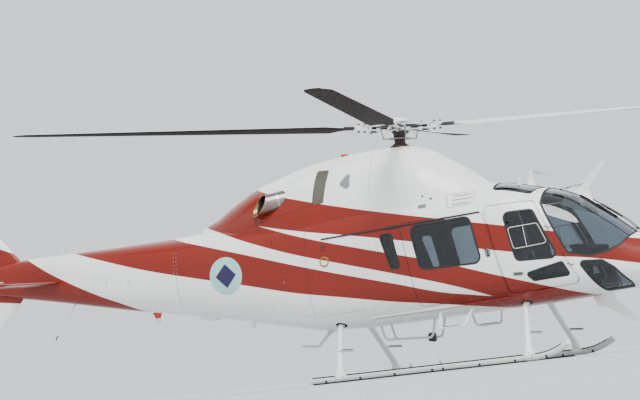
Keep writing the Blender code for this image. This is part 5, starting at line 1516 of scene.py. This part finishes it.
def exhausts():
    """Stainless stubs, sooty inside. The mouth is cut on a slant: its edge lies further back by a
    sine and a cosine of the angle round the pipe, so that it opens outwards and up."""
    angle = turns(56)
    for side, tag in SIDES:
        start, end = np.array(EXHAUST) * (1, side, 1)
        long = np.linalg.norm(end - start)
        way = (end - start) / long
        out = unit(np.array((0.0, side, 0.0)) - way * (way @ (0.0, side, 0.0)))
        up = np.cross(way, out) * side
        up *= np.sign(up[2])
        radial = np.cos(angle)[:, None] * out + np.sin(angle)[:, None] * up
        mouth = long - 0.002 - 0.085 * (1 + np.sin(angle)) - 0.055 * (1 + np.cos(angle))

        def tube(rings):
            """Closed skin through rings given by their radius and their share of the way."""
            return torus_like(np.stack([start + radial * radius + way * (mouth * share)[:, None]
                                        for radius, share in rings]))
        piece("exhaust_pipe_" + tag, PIPE, [tube(PIPE_RINGS)], stands_for="exhaust_" + tag)
        piece("exhaust_bore_" + tag, SOOT, [tube(BORE_RINGS)])
        band = [start + radial * radius + way * reach for radius, reach in
                ((0.1337, 0.2), (0.1375, 0.2), (0.1375, 0.222), (0.1337, 0.222))]
        piece("exhaust_clamp_" + tag, STEEL, [torus_like(np.stack(band))], slot="exhaust_metal")


def beacons():
    """Beacon on the engine cowl's top and beacon under the boom."""
    top, belly = (-0.83, 0, 3.015), hull_place(-3.84, 0.0, False)[0]
    for name, material, slot, place, way, profile in (
            ("top_beacon_base", RED_LENS, None, top, UP,
             ((TIP, 0.04), (0.04, 0.04), (0.052, 0.028), (0.055, -0.012))),
            ("top_beacon_dome", HUB_PAINT, "white_paint", top, UP,
             ((TIP, 0.095), (0.016, 0.092), (0.03, 0.078), (0.036, 0.055), (0.037, 0.036))),
            ("belly_beacon_base", RED_LENS, None, belly, DOWN,
             ((TIP, 0.075), (0.036, 0.075), (0.048, 0.045), (0.066, 0.01), (0.068, -0.02))),
            ("belly_beacon_lamp", CLEAR_LENS, None, belly, DOWN,
             ((TIP, 0.135), (0.018, 0.132), (0.029, 0.118), (0.032, 0.07)))):
        piece(name, material, [lathe(profile, place, way, 32)], slot=slot)


def aerials():
    """Disc, blade and whip aerials, the pitot probe and the drain pipe with its brace."""
    disc = ((TIP, 0.042), (0.09, 0.04), (0.14, 0.03), (0.158, 0.016), (0.162, -0.012))
    piece("disc_aerial", WHITE, [lathe(disc, *hull_place(-3.05, 0.0, False), 56)])
    blades = [plate(((-2.45, 0.975), (-2.435, 0.86), (-2.405, 0.85), (-2.36, 0.96)), 0.012, -0.007, 0.007),
              plate(((1.62, 2.28), (1.705, 2.27), (1.685, 2.4), (1.665, 2.41)), 0.01, -0.306, -0.294),
              plate(((1.69, 2.285), (1.8, 2.25), (1.775, 2.45), (1.78, 2.485), (1.735, 2.49)), 0.012, -0.01,
                    0.01)]
    piece("blade_aerials", WHITE, blades, bevel=0.003)
    probe = ((1.73, 0, 2.478), (1.8, 0, 2.468), (1.96, 0, 2.42), (2.0, 0, 2.408))
    piece("pitot_probe", STEEL, [rod(probe, (0.006, 0.011, 0.01, 0.007), 16)])
    whip = np.array(((-5.08, 0, 1.505), (-5.12, 0, 1.45), (-5.3, 0, 1.23), (-5.45, 0, 1.04)))
    piece("whip_aerial", WHITE, [rod(whip, (0.02, 0.01, 0.007, 0.006), 16)])
    piece("whip_tip", RUBBER, [rod((whip[2] - (0.11, 0, 0.137), whip[3] - (0, 0, 0.004)), 0.0085, 16)])
    root, bend = (-1.24, -0.12, 0.76), (-1.3, -0.12, 0.66)
    pipe = eased_path((root, bend, (-1.46, -0.12, 0.515), (-1.7, -0.12, 0.545)), 0.06)
    piece("drain_pipe", SKID_GREY,
          [rod(pipe, np.linspace(0.026, 0.017, len(pipe)), 20), rod((bend, (-1.1, -0.12, 0.75)), 0.014, 14)])


def leg_grommet(saddle_x, entry_x, side):
    """Rubber ring where a gear leg enters the belly: the level function gives the place between
    the last point of the leg's line outside the skin and the first one inside."""
    path = gear_tube_path(saddle_x, entry_x)[::-1] * (1, side, 1)
    level = hull_level(path)
    k = int(np.argmax(level < 1.0))
    spot = path[k - 1] + (path[k] - path[k - 1]) * (level[k - 1] - 1) / (level[k - 1] - level[k])
    ring = ((0.0585, 0.004), (0.06, 0.009), (0.074, 0.008), (0.082, 0.001), (0.082, -0.02), (0.0585, -0.02))
    return turned_ring(ring, spot, level_normals(spot[None], hull_level)[0], 40)


def lamps_and_aerials():
    """Beacons, aerials, the stabiliser's tip lamps and the grommets round the gear legs."""
    beacons()
    aerials()
    for side, tag in SIDES:
        lamp = [(x, side * 1.405, z) for x, z in ((-5.44, 1.862), (-5.53, 1.862), (-5.58, 1.858))]
        piece("tip_lamp_" + tag, CLEAR_LENS, [rod(lamp, (0.006, 0.02, 0.012), 20)])
        for leg, (saddle_x, entry_x) in GEAR.items():
            piece("leg_grommet_%s_%s" % (leg, tag), RUBBER, [leg_grommet(saddle_x, entry_x, side)])


def on_roof(x, y, rise):
    """Place at a height above the hull's upper skin."""
    point, normal = hull_place(x, y)
    return point + normal * rise


def windshield_trim():
    """White fairing over the centre post, its two rubber edges, a wiper on each side and a button
    on the nose."""
    slab = block((1.96, -0.092, 1.2), (3.16, 0.092, 2.5))
    skin("centre_post_fairing", hull_band(1.9, 3.3, -0.012, 0.0005), slab, material=WHITE)
    skin("centre_post_seal", hull_band(1.9, 3.3, -0.0045, 0.0005),
         block((1.95, -0.099, 1.2), (3.17, 0.099, 2.5)), (slab,), material=RUBBER)
    boss = ((TIP, 0.03), (0.014, 0.029), (0.018, 0.02), (0.02, -0.004))
    lip = ((-0.003, -0.008), (0.003, -0.008), (0.006, 0.004), (0.01, 0.01), (-0.01, 0.01), (-0.006, 0.004))
    for side, tag in SIDES:
        arm = [on_roof(x, side * y, rise) for x, y, rise in
               ((3.1, 0.06, 0.016), (2.98, 0.062, 0.034), (2.8, 0.085, 0.03), (2.62, 0.12, 0.022))]
        line = [on_roof(x, side * y, 0.01) for x, y in np.linspace((2.88, 0.115), (2.42, 0.125), 14)]
        piece("wiper_arm_" + tag, BLACK_PAINT, [sweep(arm, UP, strip_profile(0.018, 0.006, -0.004)),
                                                lathe(boss, *hull_place(3.1, side * 0.06), 24)])
        piece("wiper_blade_" + tag, RUBBER, [sweep(line, (0.4, 0, 0.9), lip)])
    button = ((TIP, 0.012), (0.02, 0.011), (0.03, 0.006), (0.034, -0.006))
    piece("nose_button", FITTING, [lathe(button, *hull_place(3.22, 0.0), 32)])


# Cabin

def cushion(half_x, half_y, half_z, channels=(), around=64, rows=28):
    """Stuffed pad: a superellipsoid whose sides pull in between its corners, with a raised seam
    round its edge and sewn channels across its upper face at the given places along X."""
    u = turns(around)
    v = np.linspace(-pi / 2 + 0.02, pi / 2 - 0.02, rows)[:, None]
    flat = np.abs(np.cos(v)) ** 0.42
    x, y = flat * power_wave(np.cos(u), 5.0), flat * power_wave(np.sin(u), 5.0)
    z = np.sign(np.sin(v)) * np.abs(np.sin(v)) ** 0.8 + 0 * u
    piping = np.exp(-(z / 0.1) ** 2) * 0.014
    crown = 0.18 * (1 - x ** 2) * (1 - y ** 2)
    wide_x = half_x * (1 - 0.045 * (1 - y ** 2) + piping)
    wide_y = half_y * (1 - 0.045 * (1 - x ** 2) + piping)
    high = half_z * (z * 0.84 + np.sign(z) * crown * np.abs(z))
    for place in channels:
        groove = 0.01 * np.exp(-((x * half_x - place) / 0.009) ** 2)
        high = high - np.where(z > 0.2, groove, 0)
    return loft(xyz(x * wide_x, y * wide_y, high))


def leaning(x, y, z, turn):
    """Placement at a point, turned about Y so that a pad's upper face looks forwards."""
    return Matrix.Translation((x, y, z)) @ Matrix.Rotation(radians(turn), 4, 'Y')


# Pads: name, half sizes, sewn channels, place along X, height, lean, finish
SEAT_PADS = (("seat_pad_", (0.235, 0.205, 0.068), (-0.08, 0.06), 1.735, 1.125, -5, CLOTH),
             ("seat_back_", (0.265, 0.205, 0.052), (-0.1, 0.05), 1.425, 1.435, 80, CLOTH),
             ("seat_headrest_", (0.085, 0.135, 0.045), (), 1.335, 1.8, 80, LEATHER))
BENCH_PADS = (("bench_pad_", (0.205, 0.178, 0.068), (-0.06, 0.06), -0.19, 1.148, -3, CLOTH),
              ("bench_back_", (0.3, 0.178, 0.045), (-0.12, 0.0, 0.12), -0.415, 1.49, 84, CLOTH),
              ("bench_headrest_", (0.065, 0.12, 0.032), (), -0.452, 1.82, 84, LEATHER))


def pads(rows, tag, y):
    """Cushions of one seat, each its own object, subdivided once."""
    for name, size, channels, x, z, lean, material in rows:
        made = piece(name + tag, material, [placed(cushion(*size, channels), leaning(x, y, z, lean))],
                     sharp=80)
        fine = made.modifiers.new("rounder", 'SUBSURF')
        fine.levels = fine.render_levels = 1


SEAT_BUCKET = corner_arcs(((1.97, 0.905), (1.97, 1.055), (1.5, 1.075), (1.405, 1.15), (1.285, 1.9),
                           (1.25, 1.9), (1.365, 1.05), (1.43, 0.905)), 0.02, 4)[::-1]


def harness(tag, y):
    """Shoulder straps and lap strap over a seat, and the round buckle where they meet."""
    strap = strip_profile(0.045, 0.003)
    straps = []
    for reach in (-0.07, 0.07):
        line = ((1.375, y + reach, 1.74), (1.45, y + reach, 1.68), (1.495, y + reach * 1.2, 1.5),
                (1.535, y + reach * 1.3, 1.28), (1.6, y + reach * 0.8, 1.212))
        straps.append(sweep(densely(line, 0.02), (1, 0, 0.5), strap))
    lap = [(x, y + reach, z) for x, reach, z in
           ((1.58, -0.2, 1.17), (1.62, -0.1, 1.212), (1.64, 0, 1.222), (1.62, 0.1, 1.212), (1.58, 0.2, 1.17))]
    straps.append(sweep(densely(lap, 0.02), (0.2, 0, 1), strap))
    piece("harness_" + tag, WEBBING, straps)
    buckle = ((TIP, 0.012), (0.026, 0.011), (0.03, 0.004), (0.03, -0.004))
    piece("harness_buckle_" + tag, STEEL, [lathe(buckle, (1.64, y, 1.224), (0.1, 0, 1), 32)])


def hand_controls(tag, y):
    """Plain cyclic stick with its grip and boot, and the collective lever beside the seat."""
    stem = rod(((2.05, y, 0.88), (2.06, y, 0.99), (1.99, y, 1.1), (1.955, y, 1.2)), 0.011, 16, ACROSS)
    grip = rod(((1.955, y, 1.19), (1.95, y, 1.23), (1.935, y, 1.29), (1.93, y, 1.315)),
               (0.017, 0.02, 0.021, 0.016), 20, ACROSS)
    boot = lathe(((TIP, 0.05), (0.012, 0.05), (0.022, 0.03), (0.045, 0.006), (0.05, 0.0)), (2.05, y, 0.88),
                 sides=32)
    piece("cyclic_stick_" + tag, BLACK_PAINT, [stem, grip, boot])
    y += 0.262
    lever = rod(((1.46, y, 0.98), (1.7, y, 1.05), (1.8, y, 1.08)), (0.012, 0.012, 0.02), 18)
    piece("collective_" + tag, BLACK_PAINT,
          [lever, rod(((1.46, y, 0.88), (1.46, y, 0.99)), 0.018, 18, AHEAD)])


def pedals(tag, y):
    """Two flat pedals, each on its stem."""
    shapes = []
    for middle in (y - 0.1, y + 0.1):
        shapes.append(placed(block((-0.012, -0.045, -0.06), (0.0, 0.045, 0.06)),
                             leaning(2.4, middle, 1.0, 20)))
        shapes.append(rod(((2.4, middle, 0.88), (2.41, middle, 0.99)), 0.009, 14, AHEAD))
    piece("pedals_" + tag, STEEL, shapes, bevel=0.002)


def crew_seats():
    """Crew seats: grey bucket on two rails, cloth cushions, leather headrest, harness and controls."""
    for side, tag in SIDES:
        y = side * 0.34
        rails = [block((1.42, y + k - 0.018, 0.8815), (1.97, y + k + 0.018, 0.906)) for k in (-0.15, 0.15)]
        piece("seat_bucket_" + tag, ROOM_TRIM, [prism(SEAT_BUCKET, y - 0.19, y + 0.19)] + rails,
              stands_for="crew_seat_" + tag, bevel=0.006)
        pads(SEAT_PADS, tag, y)
        harness(tag, y)
        hand_controls(tag, y)
        pedals(tag, y)


def bench():
    """Rear bench: three cloth places on a trimmed box."""
    corners = ((0.0, 0.885), (0.0, 1.09), (-0.42, 1.075), (-0.495, 1.88), (-0.538, 1.88), (-0.538, 0.885))
    box = corner_arcs(corners, 0.015, 4)
    piece("bench_box", ROOM_TRIM, [prism(box[::-1], -0.555, 0.555)], stands_for="rear_bench", bevel=0.006)
    for place, y in enumerate((-0.37, 0.0, 0.37)):
        pads(BENCH_PADS, str(place), y)


def instruments():
    """Hooded instrument panel with dark screens and round dials, and the console between the seats."""
    hood = corner_arcs(((2.33, 1.15), (2.5, 1.15), (2.578, 1.35), (2.578, 1.42), (2.31, 1.448), (2.272, 1.41),
                        (2.3, 1.395)), 0.012, 4)
    stem = corner_arcs(((2.42, 0.885), (2.42, 1.2), (2.33, 1.2), (2.29, 1.11), (1.87, 1.015), (1.81, 0.885)),
                       0.015, 4)
    piece("panel_hood", LEATHER, [prism(hood[::-1], -0.418, 0.418)], bevel=0.008, slot="interior_trim")
    piece("console", BLACK_PAINT, [prism(stem[::-1], -0.098, 0.098)], stands_for="instrument_panel",
          bevel=0.006, slot="interior_trim")
    face = leaning(2.317, 0, 1.272, -7)
    screen_places = (-0.28, -0.06, 0.16)
    frames = [block((-0.002, -0.4, -0.118), (0.01, 0.4, 0.112))]
    frames += [block((-0.01, y - 0.098, -0.085), (0.0, y + 0.098, 0.085)) for y in screen_places]
    screens = [block((-0.0115, y - 0.086, -0.068), (-0.006, y + 0.086, 0.073)) for y in screen_places]
    dial = ((TIP, 0.004), (0.021, 0.004), (0.0245, 0.008), (0.026, 0.0))
    dials = [lathe(dial, np.array(face @ Vector((-0.004, y, z))), (-1, 0, 0.12), 28)
             for y in (0.3, 0.355) for z in (-0.06, 0.0, 0.06)]
    knob = ((TIP, 0.016), (0.01, 0.015), (0.012, 0.002), (0.02, 0.0), (0.02, -0.006))
    dials += [lathe(knob, (1.93 + 0.09 * k, y, 1.034 + 0.0215 * k), (-0.22, 0, 1), 24)
              for k in range(4) for y in (-0.05, 0.05)]
    piece("panel_bezels", PANEL_FACE, [placed(shape, face) for shape in frames], bevel=0.002)
    piece("panel_screens", SCREEN_GLOW, [placed(shape, face) for shape in screens], bevel=0.001)
    piece("panel_dials", DARK_METAL, dials, slot="interior_trim")


def frame_finishes():
    """Finishes of the CAD nodes that stay."""
    for name, material in (("cabin_floor", FLOOR_MAT), ("engine_block", CAST), ("gearbox_block", CAST)):
        mesh = frame["nodes"][name].data
        mesh.materials.clear()
        mesh.materials.append(material)


# Camera, floor and light

CAMERA_DISTANCE = 37.93              # from the rotor's centre, level
CAMERA_HEIGHT = 0.06                 # at floor level, since the photograph looks up from below
CAMERA_AZIMUTH = 0.3393              # ahead of the starboard beam
CAMERA_TURN, CAMERA_PITCH, CAMERA_ROLL = 0.0308, 0.0632, 0.1119
FOCAL_PIXELS, PICTURE_WIDTH = 2833.0, 640


def photo_camera():
    """Camera at the photograph's angle, turned so that the machine sits in the frame as there."""
    camera = bpy.data.cameras.new("photo_camera")
    camera.sensor_width = 36.0
    camera.lens = FOCAL_PIXELS / PICTURE_WIDTH * camera.sensor_width
    camera.clip_end = 2000.0
    obj = bpy.data.objects.new("photo_camera", camera)
    way = CAMERA_AZIMUTH + CAMERA_TURN
    forward = Vector((-sin(way) * cos(CAMERA_PITCH), cos(way) * cos(CAMERA_PITCH), sin(CAMERA_PITCH)))
    level = Vector((cos(way), sin(way), 0.0))
    upright = level.cross(forward)
    right = level * cos(CAMERA_ROLL) - upright * sin(CAMERA_ROLL)
    up = upright * cos(CAMERA_ROLL) + level * sin(CAMERA_ROLL)
    turn = Matrix((right, up, -forward)).transposed()
    place = Vector((HUB.x + sin(CAMERA_AZIMUTH) * CAMERA_DISTANCE, -cos(CAMERA_AZIMUTH) * CAMERA_DISTANCE,
                    CAMERA_HEIGHT))
    obj.matrix_world = Matrix.Translation(place) @ turn.to_4x4()
    bpy.context.scene.collection.objects.link(obj)
    bpy.context.scene.camera = obj


FLOOR_RADIUS = 900.0


def floor_and_light():
    """Plain pale floor as one round sheet, an even pale surround and three soft lamps."""
    angle = turns(96)
    ring = xyz(np.cos(angle) * FLOOR_RADIUS, np.sin(angle) * FLOOR_RADIUS, 0)
    mesh = bpy.data.meshes.new("studio_floor")
    mesh.from_pydata(ring.tolist(), [], [list(range(96))])
    floor = bpy.data.objects.new("studio_floor", mesh)
    bpy.context.scene.collection.objects.link(floor)
    matt, tree, place = blank("pale_studio_floor", Roughness=0.9)
    cloud = blotches(tree, place, 4000)
    tone = add(tree, 'Mix', {0: cloud, 6: "#BEC0C2", 7: "#BABCBE"}, 2, data_type='RGBA')
    mesh.materials.append(finish(matt, tone))
    world = bpy.data.worlds.new("studio")
    world.use_nodes = True
    world.node_tree.nodes["Background"].inputs["Color"].default_value = linear("#E9EDF0")
    world.node_tree.nodes["Background"].inputs["Strength"].default_value = 1.38
    bpy.context.scene.world = world
    for name, energy, spread_angle, towards in (("key_light", 3.6, 30, (-0.25, 0.6, -1.0)),
                                                ("front_light", 0.8, 60, (-0.75, 0.45, -0.15)),
                                                ("back_light", 0.6, 60, (0.5, -0.7, -0.5))):
        lamp = bpy.data.lights.new(name, 'SUN')
        lamp.energy = energy
        lamp.angle = radians(spread_angle)
        obj = bpy.data.objects.new(name, lamp)
        obj.rotation_euler = Vector(towards).to_track_quat('-Z', 'Y').to_euler()
        bpy.context.scene.collection.objects.link(obj)


photo_camera()
floor_and_light()
cabin_skins()
rear_skins()
boom_end_cap()
cowl_skins()
glass_panes()
skids()
cross_tubes()
main_blades()
main_hub()
mast_gaiter()
fins()
tail_rotor()
boarding_steps()
hook_frame()
wire_cutters()
tail_discs()
door_fittings()
seams_and_rivets()
cowl_fittings()
exhausts()
lamps_and_aerials()
windshield_trim()
crew_seats()
bench()
instruments()
frame_finishes()
